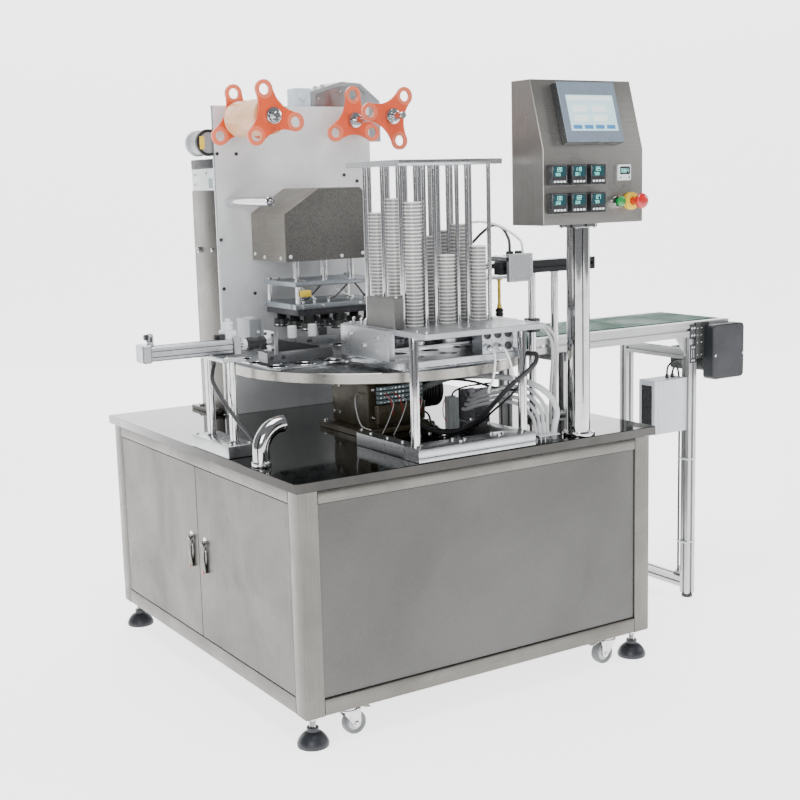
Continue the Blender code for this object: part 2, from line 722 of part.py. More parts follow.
node(
    "tower_plate",
    box(TOWER_LEFT, TOWER_RIGHT, TOWER_FACE, TOWER_FACE + TOWER_PLATE, FIT, TOWER_TOP, 0.0015),
    painted,
    add=[
        rod(TOWER_LEFT - 0.008, plate_back - 0.001, BRAKE_Z, BRAKE_LONG, BRAKE_R, "Y", 20),
        sheet_profile(
            [
                (COVER_LEFT, COVER_Z),
                (COVER_LEFT + COVER_WIDE, COVER_Z),
                (COVER_LEFT + COVER_WIDE, COVER_Z + COVER_TALL - 0.056),
                (COVER_LEFT + COVER_WIDE - 0.068, COVER_Z + COVER_TALL - 0.004),
                (COVER_LEFT + 0.105, COVER_Z + COVER_TALL),
                (COVER_LEFT, COVER_Z + COVER_TALL - 0.030),
            ],
            "Y", plate_back - 0.001, plate_back - 0.001 + COVER_DEEP),
        box(actuator_x1 - ACTUATOR_WIDE, actuator_x1, plate_back - 0.001, plate_back + ACTUATOR_DEEP,
            TOWER_TOP - 0.041, TOWER_TOP - 0.041 + ACTUATOR_TALL, 0.002),
        box(GUIDE_LEFT, GUIDE_LEFT + GUIDE_BAR, GUIDE_FRONT, TOWER_FACE + 0.001, GUIDE_LOW, guide_high),
        box(GUIDE_RIGHT - GUIDE_BAR, GUIDE_RIGHT, GUIDE_FRONT, TOWER_FACE + 0.001, GUIDE_LOW, guide_high),
        box(GUIDE_LEFT, GUIDE_RIGHT, GUIDE_FRONT, GUIDE_FRONT + GUIDE_BAR - 0.001, GUIDE_LOW, guide_high),
        box(GUIDE_LEFT - 0.038, GUIDE_LEFT + 0.001, press_y - 0.027, press_y + 0.053, GUIDE_LOW + 0.004,
            guide_high + 0.054, 0.001),
    ],
    cut=[
        rod(UNWIND_X, TOWER_FACE - 0.01, REEL_Z, 0.050, SHAFT_R + FIT, "Y", 16),
        rod(REWIND_X, TOWER_FACE - 0.01, REEL_Z, 0.050, SHAFT_R + FIT, "Y", 16),
        rod(ROLLER_X, TOWER_FACE - 0.01, ROLLER_Z, 0.050, spindle_r + FIT, "Y", 12),
    ],
)

# Reels: a shaft in the tower plate with two three-lobed flanges
def lobed_flange(x, z, y, first):
    """Outline of three round lobes joined by hollow sides, as one flat plate."""
    points = []
    for k in range(3):
        mid = math.radians(first + 120 * k)
        for step in range(-3, 4):
            a = mid + math.radians(33 * step)
            points.append((
                x + REEL_LOBE * math.cos(mid) + REEL_LOBE_R * math.cos(a),
                z + REEL_LOBE * math.sin(mid) + REEL_LOBE_R * math.sin(a),
            ))
        valley = mid + math.radians(60)
        points.append((x + 0.043 * math.cos(valley), z + 0.043 * math.sin(valley)))
    return sheet_profile(points, "Y", y, y + REEL_PLATE)


REEL_GAP = 0.210
HUB_R = 0.022
LOBE_HOLE_R = 0.0145
reel_far = REEL_NEAR + REEL_GAP
for name, rx, first_near, first_far, tip in (
        ("unwind_reel", UNWIND_X, 107, 98, 0.028), ("rewind_reel", REWIND_X, 51, 90, 0.062)):
    holes = []
    for first, hy in ((first_near, REEL_NEAR), (first_far, reel_far)):
        for k in range(3):
            a = math.radians(first + 120 * k)
            holes.append(rod(rx + REEL_LOBE * math.cos(a), hy - 0.01, REEL_Z + REEL_LOBE * math.sin(a),
                             0.03, LOBE_HOLE_R, "Y", 8))
    node(
        name,
        rod(rx, REEL_NEAR - tip, REEL_Z, TOWER_FACE + TOWER_PLATE - 0.002 - REEL_NEAR + tip, SHAFT_R, "Y",
            16),
        orange,
        add=[
            lobed_flange(rx, REEL_Z, REEL_NEAR, first_near),
            lobed_flange(rx, REEL_Z, reel_far, first_far),
            rod(rx, REEL_NEAR - 0.012, REEL_Z, 0.026, HUB_R, "Y", 16),
            rod(rx, reel_far - 0.010, REEL_Z, TOWER_FACE - FIT - reel_far + 0.010, HUB_R, "Y", 16),
        ],
        cut=[many(holes)],
        origin=(rx, TOWER_FACE, REEL_Z),
    )

# Film roll: wound sealing film between the flanges of the unwind reel
film_y0 = REEL_NEAR + REEL_PLATE + 0.006
film_len = reel_far - 0.011 - film_y0
node(
    "film_roll",
    turned([(SHAFT_R + FIT, 0.0), (FILM_R, 0.0), (FILM_R, film_len), (SHAFT_R + FIT, film_len)],
           UNWIND_X, film_y0, REEL_Z, "Y", 28, True),
    white,
    origin=(UNWIND_X, TOWER_FACE, REEL_Z),
)

# Guide roller: it turns with its spindle in the tower plate
ROLLER_BARREL_R = 0.0135
node(
    "guide_roller",
    rod(ROLLER_X, REEL_NEAR, ROLLER_Z, TOWER_FACE - 0.004 - REEL_NEAR, ROLLER_BARREL_R, "Y", 16),
    aluminium,
    add=[rod(ROLLER_X, REEL_NEAR - 0.008, ROLLER_Z, plate_back + 0.006 - REEL_NEAR, spindle_r, "Y", 12)],
    origin=(ROLLER_X, TOWER_FACE, ROLLER_Z),
)

# Hood: a bent steel cover over the press cylinder, open below and against the plate
def hood_outline(inset):
    return [
        (HOOD_LEFT + inset, HOOD_BOTTOM - (0.01 if inset else 0.0)),
        (HOOD_LEFT + inset, HOOD_TOP - 0.069 - inset * 0.5),
        (HOOD_LEFT + 0.111 + inset * 0.3, HOOD_TOP - inset),
        (HOOD_RIGHT - 0.016 - inset * 0.4, HOOD_TOP - inset),
        (HOOD_RIGHT - inset, HOOD_TOP - 0.014 - inset * 0.4),
        (HOOD_RIGHT - inset, HOOD_BOTTOM - (0.01 if inset else 0.0)),
    ]


node(
    "seal_hood",
    sheet_profile(hood_outline(0.0), "Y", HOOD_FRONT, TOWER_FACE - FIT),
    steel,
    cut=[sheet_profile(hood_outline(HOOD_SHEET), "Y", HOOD_FRONT + HOOD_SHEET, TOWER_FACE + 0.02)],
)

# Press cylinder: body and bearing block bolted to the plate inside the hood
block_z0 = 0.458
block_z1 = 0.520
GUIDE_ROD_R = 0.009
PISTON_R = 0.011
guide_rod_x = (press_x - 0.090, press_x + 0.090)
press_holes = [rod(press_x, press_y, block_z0 - 0.02, 0.172, PISTON_R + FIT, "Z", 16)]
for gx in guide_rod_x:
    press_holes.append(rod(gx, press_y, block_z0 - 0.02, 0.2, GUIDE_ROD_R + FIT, "Z", 12))
node(
    "press_cylinder",
    box(press_x - 0.112, press_x + 0.112, press_y - 0.034, TOWER_FACE - FIT, block_z0, block_z1, 0.001),
    aluminium,
    add=[rod(press_x, press_y, block_z1 - 0.001, 0.112, 0.037, "Z", 20)],
    cut=[many(press_holes)],
)

# Press head: two plates on spacers, the heated heads below and the rods above
plate_bottom = PRESS_PLATE_TOP - PRESS_PLATE_THICK
head_bottom = HEAD_TOP - HEAD_THICK
head_half = 0.148
head_y0 = press_y - 0.100
head_y1 = press_y + 0.108
head_parts = [
    box(press_x - head_half, press_x + head_half, head_y0, head_y1, head_bottom, HEAD_TOP, 0.001),
    box(press_x - head_half + 0.010, press_x + head_half - 0.010, head_y0 + 0.006, head_y1 - 0.012,
        head_bottom - 0.018, head_bottom + 0.001),
    rod(press_x, press_y, PRESS_PLATE_TOP - 0.001, 0.150, PISTON_R, "Z", 16),
]
for gx in guide_rod_x:
    head_parts.append(rod(gx, press_y, PRESS_PLATE_TOP - 0.001, 0.150, GUIDE_ROD_R, "Z", 12))
for sx in (-1, 1):
    for sy in (head_y0 + 0.018, head_y1 - 0.018):
        head_parts.append(rod(press_x + sx * (head_half - 0.018), sy, HEAD_TOP - 0.001,
                              plate_bottom - HEAD_TOP + 0.002, COLUMN_R, "Z", 8))
heads = []
for row in range(3):
    for column in (-1, 0, 1):
        heads.append(turned([(0.023, 0.0), (0.023, 0.022), (0.014, 0.024), (0.014, 0.045)],
                            press_x + CUP_PITCH_X * column, TABLE_Y + CUP_ROW_R - CUP_PITCH_Y * row,
                            head_bottom - 0.061, "Z", 12))
head_parts.append(many(heads))
node(
    "press_head",
    box(press_x - head_half + 0.006, press_x + head_half - 0.004, head_y0 + 0.008, head_y1 - 0.008,
        plate_bottom, PRESS_PLATE_TOP, 0.001),
    aluminium,
    add=head_parts,
    origin=(press_x, press_y, PRESS_PLATE_TOP),
)

# Left hand slide: block, two posts, a bridge and the air cylinder lying on it
STAND_X = 0.040
STAND_HALF = 0.038
STAND_FRONT = SLIDE_Y - 0.105
STAND_BACK = SLIDE_Y + 0.117
STAND_TALL = 0.032
STAND_POST_R = 0.011
BRIDGE_THICK = 0.012
BRIDGE_HALF = 0.028
bridge_top = SLIDE_Z - 0.020
post_front = STAND_FRONT + 0.040
post_back = STAND_BACK - 0.048
post_len = bridge_top - BRIDGE_THICK / 2 - STAND_TALL + 0.002
node(
    "slide_stand",
    box(STAND_X - STAND_HALF, STAND_X + STAND_HALF, STAND_FRONT, STAND_BACK, FIT, STAND_TALL, 0.0015),
    aluminium,
    add=[
        rod(STAND_X, post_front, STAND_TALL - 0.002, post_len, STAND_POST_R, "Z", 16),
        rod(STAND_X, post_back, STAND_TALL - 0.002, post_len, STAND_POST_R, "Z", 16),
        box(STAND_X - BRIDGE_HALF, STAND_X + BRIDGE_HALF, post_front - 0.014, post_back + 0.016,
            bridge_top - BRIDGE_THICK, bridge_top, 0.001),
    ],
)
bore_r = 0.0085
node(
    "slide_cylinder",
    box(SLIDE_TAIL + 0.020, SLIDE_NOSE - 0.018, SLIDE_Y - 0.019, SLIDE_Y + 0.019, bridge_top + FIT,
        SLIDE_Z + 0.017, 0.004),
    aluminium,
    add=[
        box(SLIDE_TAIL, SLIDE_TAIL + 0.024, SLIDE_Y - 0.024, SLIDE_Y + 0.024, bridge_top + FIT - 0.003,
            SLIDE_Z + 0.022, 0.003),
        box(SLIDE_NOSE - 0.020, SLIDE_NOSE, SLIDE_Y - 0.024, SLIDE_Y + 0.024, bridge_top + FIT - 0.003,
            SLIDE_Z + 0.024, 0.002),
        box(SLIDE_TAIL + 0.022, SLIDE_TAIL + 0.036, SLIDE_Y - 0.008, SLIDE_Y + 0.008, SLIDE_Z + 0.016,
            SLIDE_Z + 0.046, 0.002),
        box(SLIDE_NOSE - 0.036, SLIDE_NOSE - 0.006, SLIDE_Y - 0.012, SLIDE_Y + 0.030, SLIDE_Z + 0.016,
            SLIDE_Z + 0.038, 0.002),
    ],
    cut=[rod(SLIDE_NOSE - 0.140, SLIDE_Y, SLIDE_Z, 0.150, bore_r, "X", 12)],
)
SLIDE_PLATE_X = 0.178
SLIDE_PLATE_TALL = 0.061
PUSHER_REACH = 0.174
PUSHER_TALL = 0.028
pusher_z = SLIDE_Z - 0.024
wedge_x1 = SLIDE_PLATE_X + PUSHER_REACH - 0.034
node(
    "slide_carriage",
    box(SLIDE_PLATE_X, SLIDE_PLATE_X + 0.011, SLIDE_Y - 0.034, SLIDE_Y + 0.024,
        pusher_z - 0.008, pusher_z - 0.008 + SLIDE_PLATE_TALL, 0.001),
    steel,
    add=[
        rod(SLIDE_NOSE - 0.115, SLIDE_Y, SLIDE_Z, SLIDE_PLATE_X - SLIDE_NOSE + 0.117, bore_r - FIT, "X", 12),
        rod(SLIDE_NOSE + 0.024, SLIDE_Y, SLIDE_Z, 0.052, 0.017, "X", 16),
        box(SLIDE_PLATE_X - 0.020, SLIDE_PLATE_X + PUSHER_REACH, SLIDE_Y - 0.030, SLIDE_Y + 0.020,
            pusher_z - PUSHER_TALL, pusher_z, 0.001),
        sheet_profile([(SLIDE_PLATE_X + 0.010, pusher_z - 0.001), (wedge_x1, pusher_z - 0.001),
                       (wedge_x1, pusher_z + 0.004), (SLIDE_PLATE_X + 0.010, pusher_z + 0.032)],
                      "Y", SLIDE_Y - 0.020, SLIDE_Y + 0.016),
    ],
    origin=(SLIDE_PLATE_X, SLIDE_Y, SLIDE_Z),
)

# Pole and control box
node(
    "pole",
    turned(
        [
            (POLE_R + 0.013, 0.0),
            (POLE_R + 0.013, 0.008),
            (POLE_R, 0.009),
            (POLE_R, BOX_BOTTOM - FIT - 0.009),
            (POLE_R + 0.020, BOX_BOTTOM - FIT - 0.008),
            (POLE_R + 0.020, BOX_BOTTOM - 2 * FIT),
        ],
        POLE_X, POLE_Y, FIT, "Z", 20),
    chrome,
)
slope = math.atan2(BOX_TOP_FRONT - BOX_FRONT, BOX_TOP - BOX_EDGE)
GAUGE_HALF = 0.024
GAUGE_OUT = 0.022
GAUGE_PITCH = 0.062
GAUGE_LEFT = BOX_LEFT + 0.034
LOW_ROW_Z = BOX_BOTTOM + 0.053
HIGH_ROW_Z = LOW_ROW_Z + 0.069
COUNTER_LEFT = BOX_RIGHT - 0.089
COUNTER_WIDE = 0.042
COUNTER_HALF = 0.020
COUNTER_OUT = 0.008
BUTTON_X = BOX_RIGHT - 0.091
BUTTON_R = 0.013
STOP_X = BOX_RIGHT - 0.045
STOP_R = 0.0195
STEM_R = 0.009
COLLAR_OUT = 0.014
stem_hole_r = STEM_R + 0.0005
counter_z = HIGH_ROW_Z + 0.003
gauges = []
for row_z in (HIGH_ROW_Z, LOW_ROW_Z):
    for column in range(3):
        gx = GAUGE_LEFT + GAUGE_PITCH * column
        gauges.append(box(gx - GAUGE_HALF, gx + GAUGE_HALF, BOX_FRONT - GAUGE_OUT, BOX_FRONT + 0.001,
                          row_z - GAUGE_HALF - 0.001, row_z + GAUGE_HALF + 0.001, 0.001))
button_holes = [
    rod(BUTTON_X, BOX_FRONT - 0.020, LOW_ROW_Z, 0.040, stem_hole_r, "Y", 12),
    rod(STOP_X, BOX_FRONT - 0.030, LOW_ROW_Z, 0.050, stem_hole_r, "Y", 12),
]
node(
    "control_box",
    sheet_profile(
        [(BOX_FRONT, BOX_BOTTOM), (BOX_FRONT, BOX_EDGE), (BOX_TOP_FRONT, BOX_TOP), (BOX_BACK, BOX_TOP),
         (BOX_BACK, BOX_BOTTOM)],
        "X", BOX_LEFT, BOX_RIGHT),
    steel,
    add=[
        many(gauges),
        box(COUNTER_LEFT, COUNTER_LEFT + COUNTER_WIDE, BOX_FRONT - COUNTER_OUT, BOX_FRONT + 0.001,
            counter_z - COUNTER_HALF, counter_z + COUNTER_HALF, 0.001),
        rod(BUTTON_X, BOX_FRONT - COLLAR_OUT, LOW_ROW_Z, COLLAR_OUT + 0.001, BUTTON_R + 0.0035, "Y", 20),
        rod(STOP_X, BOX_FRONT - COLLAR_OUT, LOW_ROW_Z, COLLAR_OUT + 0.001, STOP_R + 0.0025, "Y", 20),
    ],
    cut=[many(button_holes)],
)
node(
    "start_button",
    turned([(BUTTON_R - 0.0015, 0.0), (BUTTON_R, 0.0015), (BUTTON_R, 0.006), (STEM_R, 0.006), (STEM_R,
                                                                                               0.026)],
           BUTTON_X, BOX_FRONT - COLLAR_OUT - 0.010, LOW_ROW_Z, "Y", 16),
    green,
    origin=(BUTTON_X, BOX_FRONT - COLLAR_OUT - 0.010, LOW_ROW_Z),
)
node(
    "stop_button",
    turned([(STOP_R - 0.0075, 0.0), (STOP_R - 0.0025, 0.002), (STOP_R, 0.006), (STOP_R, 0.013),
            (STOP_R - 0.0045, 0.018), (STEM_R, 0.018), (STEM_R, 0.052)],
           STOP_X, BOX_FRONT - COLLAR_OUT - 0.040, LOW_ROW_Z, "Y", 18),
    red,
    origin=(STOP_X, BOX_FRONT - COLLAR_OUT - 0.040, LOW_ROW_Z),
)

# Touch panel: a flat housing on the sloped face
def on_slope(x, up, out):
    """A point of the sloped face: up along the slope, out from it."""
    y = BOX_FRONT + up * math.sin(slope) - out * math.cos(slope)
    z = BOX_EDGE + up * math.cos(slope) + out * math.sin(slope)
    return x, y, z


PANEL_X0 = BOX_LEFT + 0.062
PANEL_X1 = PANEL_X0 + 0.186
PANEL_UP0 = 0.012
PANEL_UP1 = 0.166
PANEL_OUT = 0.024
outline = []
for up, out in ((PANEL_UP0, FIT), (PANEL_UP0, PANEL_OUT), (PANEL_UP1, PANEL_OUT), (PANEL_UP1, FIT)):
    corner = on_slope(0.0, up, out)
    outline.append((corner[1], corner[2]))
node("touch_panel", sheet_profile(outline, "X", PANEL_X0, PANEL_X1), painted)

# Discharge conveyor: two slotted side beams on legs, with feet on worktop and floor
beam_top = BELT_TOP - 0.002
beam_z0 = beam_top - BEAM_TALL
near_in = BEAM_FRONT + BEAM_WIDE
far_in = BEAM_BACK - BEAM_WIDE
belt_z = BELT_TOP - BELT_THICK - ROLLER_R
roller_start = CONVEYOR_START + 0.030
roller_end = CONVEYOR_END - 0.030
leg_half = 0.016
frame_adds = [
    box(CONVEYOR_START, CONVEYOR_END - 0.010, far_in, BEAM_BACK, beam_z0, beam_top, 0.001),
    box(LEG_X - leg_half, LEG_X + leg_half, BEAM_FRONT, near_in, floor_level + 0.012, beam_z0 + 0.001),
    box(LEG_X - leg_half, LEG_X + leg_half, far_in, BEAM_BACK, floor_level + 0.012, beam_z0 + 0.001),
    box(LEG_X - leg_half, LEG_X + leg_half, near_in - 0.001, far_in + 0.001, floor_level + 0.030,
        floor_level + 0.062),
    box(LEG_X - leg_half, LEG_X + leg_half, near_in - 0.001, far_in + 0.001, beam_z0 - 0.070,
        beam_z0 - 0.040),
    box(CONVEYOR_START + 0.100, CONVEYOR_START + 0.130, near_in - 0.001, far_in + 0.001, beam_z0 - 0.030,
        beam_z0 - 0.002),
    box(CONVEYOR_START + 0.100, CONVEYOR_START + 0.130, BEAM_FRONT, near_in, FIT, beam_z0 + 0.001),
    box(CONVEYOR_START + 0.100, CONVEYOR_START + 0.130, far_in, BEAM_BACK, FIT, beam_z0 + 0.001),
    rod(LEG_X, BEAM_FRONT + BEAM_WIDE / 2, floor_level, 0.014, 0.017, "Z", 14),
    rod(LEG_X, BEAM_BACK - BEAM_WIDE / 2, floor_level, 0.014, 0.017, "Z", 14),
    sheet_profile([(LEG_X - leg_half + 0.001, beam_z0 + 0.001), (LEG_X - leg_half + 0.001, beam_z0 - 0.060),
                   (LEG_X - leg_half - 0.044, beam_z0 + 0.001)], "Y", BEAM_FRONT + 0.011, BEAM_FRONT + 0.015),
    sheet_profile([(near_in - 0.001, floor_level + 0.061), (near_in - 0.001, floor_level + 0.110),
                   (near_in + 0.048, floor_level + 0.061)], "X", LEG_X - 0.002, LEG_X + 0.002),
    sheet_profile([(far_in + 0.001, floor_level + 0.061), (far_in + 0.001, floor_level + 0.110),
                   (far_in - 0.048, floor_level + 0.061)], "X", LEG_X - 0.002, LEG_X + 0.002),
]
roller_seats = []
for rx in (roller_start, roller_end):
    roller_seats.append(rod(rx, BEAM_FRONT - 0.01, belt_z, BEAM_BACK - BEAM_FRONT + 0.02, 0.0075 + FIT, "Y",
                            12))
node(
    "conveyor_frame",
    box(CONVEYOR_START, CONVEYOR_END - 0.010, BEAM_FRONT, near_in, beam_z0, beam_top, 0.001),
    aluminium,
    add=frame_adds,
    cut=[many(roller_seats)],
)

# Belt: one endless band over the two rollers
def belt_outline(radius):
    points = []
    for i in range(9):
        a = math.radians(90 + 22.5 * i)
        points.append((roller_start + radius * math.cos(a), belt_z + radius * math.sin(a)))
    for i in range(9):
        a = math.radians(-90 + 22.5 * i)
        points.append((roller_end + radius * math.cos(a), belt_z + radius * math.sin(a)))
    return points


node(
    "conveyor_belt",
    sheet_profile(belt_outline(ROLLER_R + BELT_THICK), "Y", near_in + 0.002, far_in - 0.002),
    green,
    cut=[sheet_profile(belt_outline((ROLLER_R + 0.0003) / math.cos(math.pi / 16)), "Y", near_in - 0.02,
                       far_in + 0.02)],
)

# Rollers: the driven one at the far end and the idler by the table
for name, rx in (("drive_roller", roller_end), ("idler_roller", roller_start)):
    node(
        name,
        rod(rx, near_in + 0.003, belt_z, far_in - near_in - 0.006, ROLLER_R, "Y", 20),
        chrome,
        add=[rod(rx, BEAM_FRONT + 0.001, belt_z, BEAM_BACK - BEAM_FRONT - 0.002, 0.0075, "Y", 12)],
        origin=(rx, BEAM_FRONT, belt_z),
    )

# Drive: belt guard on the near side with the gear motor behind it
GUARD_WIDE = 0.134
GUARD_TALL = 0.168
GUARD_DEEP = 0.0446
GUARD_BELOW_BEAM = 0.010
DRIVE_MOTOR_R = 0.034
DRIVE_MOTOR_LONG = 0.120
guard_x1 = CONVEYOR_END + GUARD_PAST
guard_x0 = guard_x1 - GUARD_WIDE
guard_z1 = beam_top - GUARD_BELOW_BEAM
guard_z0 = guard_z1 - GUARD_TALL
guard_y1 = BEAM_FRONT - FIT
guard_y0 = guard_y1 - GUARD_DEEP
drive_x = guard_x0 + 0.040
drive_z = guard_z0 + 0.052
node(
    "conveyor_drive",
    box(guard_x0, guard_x1, guard_y0, guard_y1, guard_z0, guard_z1, 0.008),
    black,
    add=[
        box(guard_x0 - 0.036, guard_x0 + 0.020, guard_y1 - 0.007, guard_y1 - 0.0002, guard_z0 + 0.066,
            beam_top - 0.002),
        rod(drive_x, guard_y1 - 0.004, drive_z, DRIVE_MOTOR_LONG, DRIVE_MOTOR_R, "Y", 20),
        box(drive_x - 0.030, drive_x + 0.032, guard_y1 + 0.080, guard_y1 + 0.150, drive_z - DRIVE_MOTOR_R,
            drive_z + 0.036, 0.002),
    ],
)

# Speed box: a pale sheet box bolted to the near leg
SPEED_BOX_WIDE = 0.1356
SPEED_BOX_DEEP = 0.070
SPEED_BOX_TALL = 0.166
SPEED_BOX_BELOW_BEAM = 0.123
speed_x1 = LEG_X - leg_half - FIT
speed_y0 = BEAM_FRONT + 0.005
speed_z1 = beam_z0 - SPEED_BOX_BELOW_BEAM
node(
    "speed_box",
    box(speed_x1 - SPEED_BOX_WIDE, speed_x1, speed_y0, speed_y0 + SPEED_BOX_DEEP, speed_z1 - SPEED_BOX_TALL,
        speed_z1, 0.002),
    white,
)

# Discharge gripper: two posts with a rail, a carriage on the rail and a lifting plate
RAIL_LEFT = CONVEYOR_START - 0.140
RAIL_LONG = 0.334
RAIL_Z0 = 0.410
RAIL_TALL = 0.034
RAIL_Y0 = BEAM_FRONT - 0.031
RAIL_DEEP = 0.034
STAND_PITCH = 0.080
STAND_ROD_R = 0.0105
FOOT_PLATE = 0.012
stand_x = RAIL_LEFT + 0.118
stand_y = RAIL_Y0 + RAIL_DEEP / 2
rail_top = RAIL_Z0 + RAIL_TALL
node(
    "gripper_stand",
    box(RAIL_LEFT, RAIL_LEFT + RAIL_LONG, RAIL_Y0, RAIL_Y0 + RAIL_DEEP, RAIL_Z0, rail_top, 0.0015),
    black,
    add=[
        rod(stand_x, stand_y, FOOT_PLATE - 0.002, RAIL_Z0 - FOOT_PLATE + 0.003, STAND_ROD_R, "Z", 12),
        rod(stand_x + STAND_PITCH, stand_y, FOOT_PLATE - 0.002, RAIL_Z0 - FOOT_PLATE + 0.003, STAND_ROD_R,
            "Z", 12),
        box(stand_x - 0.022, stand_x + STAND_PITCH + 0.022, stand_y - 0.022, stand_y + 0.0125, FIT,
            FOOT_PLATE),
    ],
)
lift_x0 = TABLE_X + CUP_ROW_R - 2 * CUP_PITCH_Y - 0.042
lift_x1 = TABLE_X + CUP_ROW_R + 0.030
lift_y0 = TABLE_Y - CUP_PITCH_X - 0.026
lift_y1 = TABLE_Y + CUP_PITCH_X + 0.026
LIFT_Z = 0.392
LIFT_THICK = 0.008
LIFT_ROD_R = 0.008
CUP_LIP_Z = 0.279
lift_mid_x = (lift_x0 + lift_x1) / 2
lift_mid_y = TABLE_Y
CARRIAGE_X = RAIL_LEFT + 0.018
CARRIAGE_WIDE = 0.080
CARRIAGE_SHEET = 0.014
carriage_y0 = RAIL_Y0 - CARRIAGE_SHEET
arm_y0 = RAIL_Y0 + RAIL_DEEP + 0.022
arm_z0 = RAIL_Z0 + 0.014
arm_x1 = CARRIAGE_X + CARRIAGE_WIDE - 0.010
node(
    "gripper_carriage",
    box(CARRIAGE_X, CARRIAGE_X + CARRIAGE_WIDE, carriage_y0, RAIL_Y0 - FIT, RAIL_Z0 - 0.020, rail_top + 0.022,
        0.001),
    painted,
    add=[
        box(CARRIAGE_X, CARRIAGE_X + CARRIAGE_WIDE, carriage_y0, arm_y0 + 0.012, rail_top + FIT,
            rail_top + CARRIAGE_SHEET),
        box(CARRIAGE_X + 0.010, arm_x1, arm_y0, arm_y0 + 0.012, arm_z0, rail_top + 0.002),
        box(lift_mid_x - 0.030, arm_x1, arm_y0, lift_mid_y + 0.030, arm_z0, arm_z0 + CARRIAGE_SHEET, 0.001),
        box(lift_mid_x - 0.022, lift_mid_x + 0.022, lift_mid_y - 0.022, lift_mid_y + 0.022,
            arm_z0 + CARRIAGE_SHEET - 0.002, arm_z0 + 0.066, 0.002),
    ],
    cut=[rod(lift_mid_x, lift_mid_y, arm_z0 - 0.009, 0.060, LIFT_ROD_R + 0.0005, "Z", 12)],
    origin=(CARRIAGE_X, RAIL_Y0, rail_top),
)
cups = []
for row in range(3):
    for column in (-1, 0, 1):
        cups.append(turned(
            [(0.013, 0.0), (0.010, 0.012), (0.013, 0.024), (0.007, 0.030), (0.007,
                                                                            LIFT_Z - CUP_LIP_Z + 0.001)],
            TABLE_X + CUP_ROW_R - CUP_PITCH_Y * row, TABLE_Y + CUP_PITCH_X * column, CUP_LIP_Z, "Z", 10))
node(
    "gripper_lift",
    box(lift_x0, lift_x1, lift_y0, lift_y1, LIFT_Z, LIFT_Z + LIFT_THICK, 0.001),
    aluminium,
    add=[many(cups), rod(lift_mid_x, lift_mid_y, LIFT_Z + LIFT_THICK - 0.001, 0.074, LIFT_ROD_R, "Z", 12)],
    origin=(lift_mid_x, lift_mid_y, LIFT_Z),
)


def tube_curve(name, route, radius, look, smooth=True):
    """A round cable along a smooth line through the route's points."""
    pts = [place(*p) for p in route]
    line = []
    for i in range(len(pts) - 1):
        steps = 1
        if smooth and 0 < i < len(pts) - 2:
            steps = max(1, round((pts[i + 1] - pts[i]).length / (5.0 * radius)))
        p0 = pts[max(i - 1, 0)]
        p1 = pts[i]
        p2 = pts[i + 1]
        p3 = pts[min(i + 2, len(pts) - 1)]
        for s in range(steps):
            t = s / steps
            line.append(0.5 * ((2 * p1) + (p2 - p0) * t + (2 * p0 - 5 * p1 + 4 * p2 - p3) * t * t
                               + (3 * p1 - p0 - 3 * p2 + p3) * t * t * t))
    line.append(pts[-1])
    curve = bpy.data.curves.new(name, "CURVE")
    curve.dimensions = "3D"
    curve.bevel_depth = radius
    curve.bevel_resolution = 2
    curve.use_fill_caps = True
    spline = curve.splines.new("POLY")
    spline.points.add(len(line) - 1)
    for point, co in zip(spline.points, line):
        point.co = (co.x, co.y, co.z, 1.0)
    obj = bpy.data.objects.new(name, curve)
    parts.objects.link(obj)
    curve.materials.append(look(name))
    return obj


# Elbow: the polished pipe that leads cables through the worktop
ELBOW_X = 0.030
ELBOW_Y = 0.225
ELBOW_R = 0.021
ELBOW_BEND = 0.060
elbow = [(ELBOW_X, ELBOW_Y, FIT)]
for i in range(9):
    a = math.radians(180 - 90 * i / 8)
    elbow.append((ELBOW_X + ELBOW_BEND * (1 + math.cos(a)), ELBOW_Y, 0.038 + ELBOW_BEND * math.sin(a)))
tube_curve("elbow_pipe", elbow, ELBOW_R, chrome, smooth=False)

# Cables and hoses that hang free; the first and last stretch of each runs straight out of its face
CORD_GAP = 0.0003
tube_curve("slide_cable", [
    (0.030, 0.470, bridge_top - BRIDGE_THICK - CORD_GAP), (0.030, 0.470, 0.222), (0.020, 0.458, 0.208),
    (0.006, 0.430, 0.186), (0.008, 0.380, 0.145), (0.020, 0.330, 0.100), (0.036, 0.300, 0.066),
    (0.052, 0.286, 0.036), (0.056, 0.284, 0.018), (0.056, 0.284, CORD_GAP),
], 0.005, black)
tube_curve("drive_cable", [
    (0.545, gearbox_front - CORD_GAP, 0.045), (0.545, 0.376, 0.045), (0.547, 0.340, 0.034),
    (0.560, 0.290, 0.016), (0.590, 0.235, 0.012), (0.622, 0.180, 0.038), (0.634, 0.140, 0.070),
    (0.643, 0.100, 0.109), (0.654, 0.050, 0.155), (0.668, 0.012, 0.186), (0.690, 0.000, 0.212),
    (0.703, 0.014, 0.230), (0.703, 0.032, 0.230), (0.703, 0.050 - CORD_GAP, 0.230),
], 0.006, black)
tube_curve("worktop_conduit", [
    (gearbox_right + CORD_GAP, 0.450, 0.090), (0.622, 0.450, 0.090), (0.645, 0.410, 0.112),
    (0.668, 0.320, 0.142), (0.700, 0.190, 0.155), (0.732, 0.090, 0.148), (0.764, 0.045, 0.120),
    (0.783, 0.032, 0.078), (0.782, 0.038, 0.040), (0.780, 0.040, 0.020), (0.780, 0.040, CORD_GAP),
], 0.008, white)
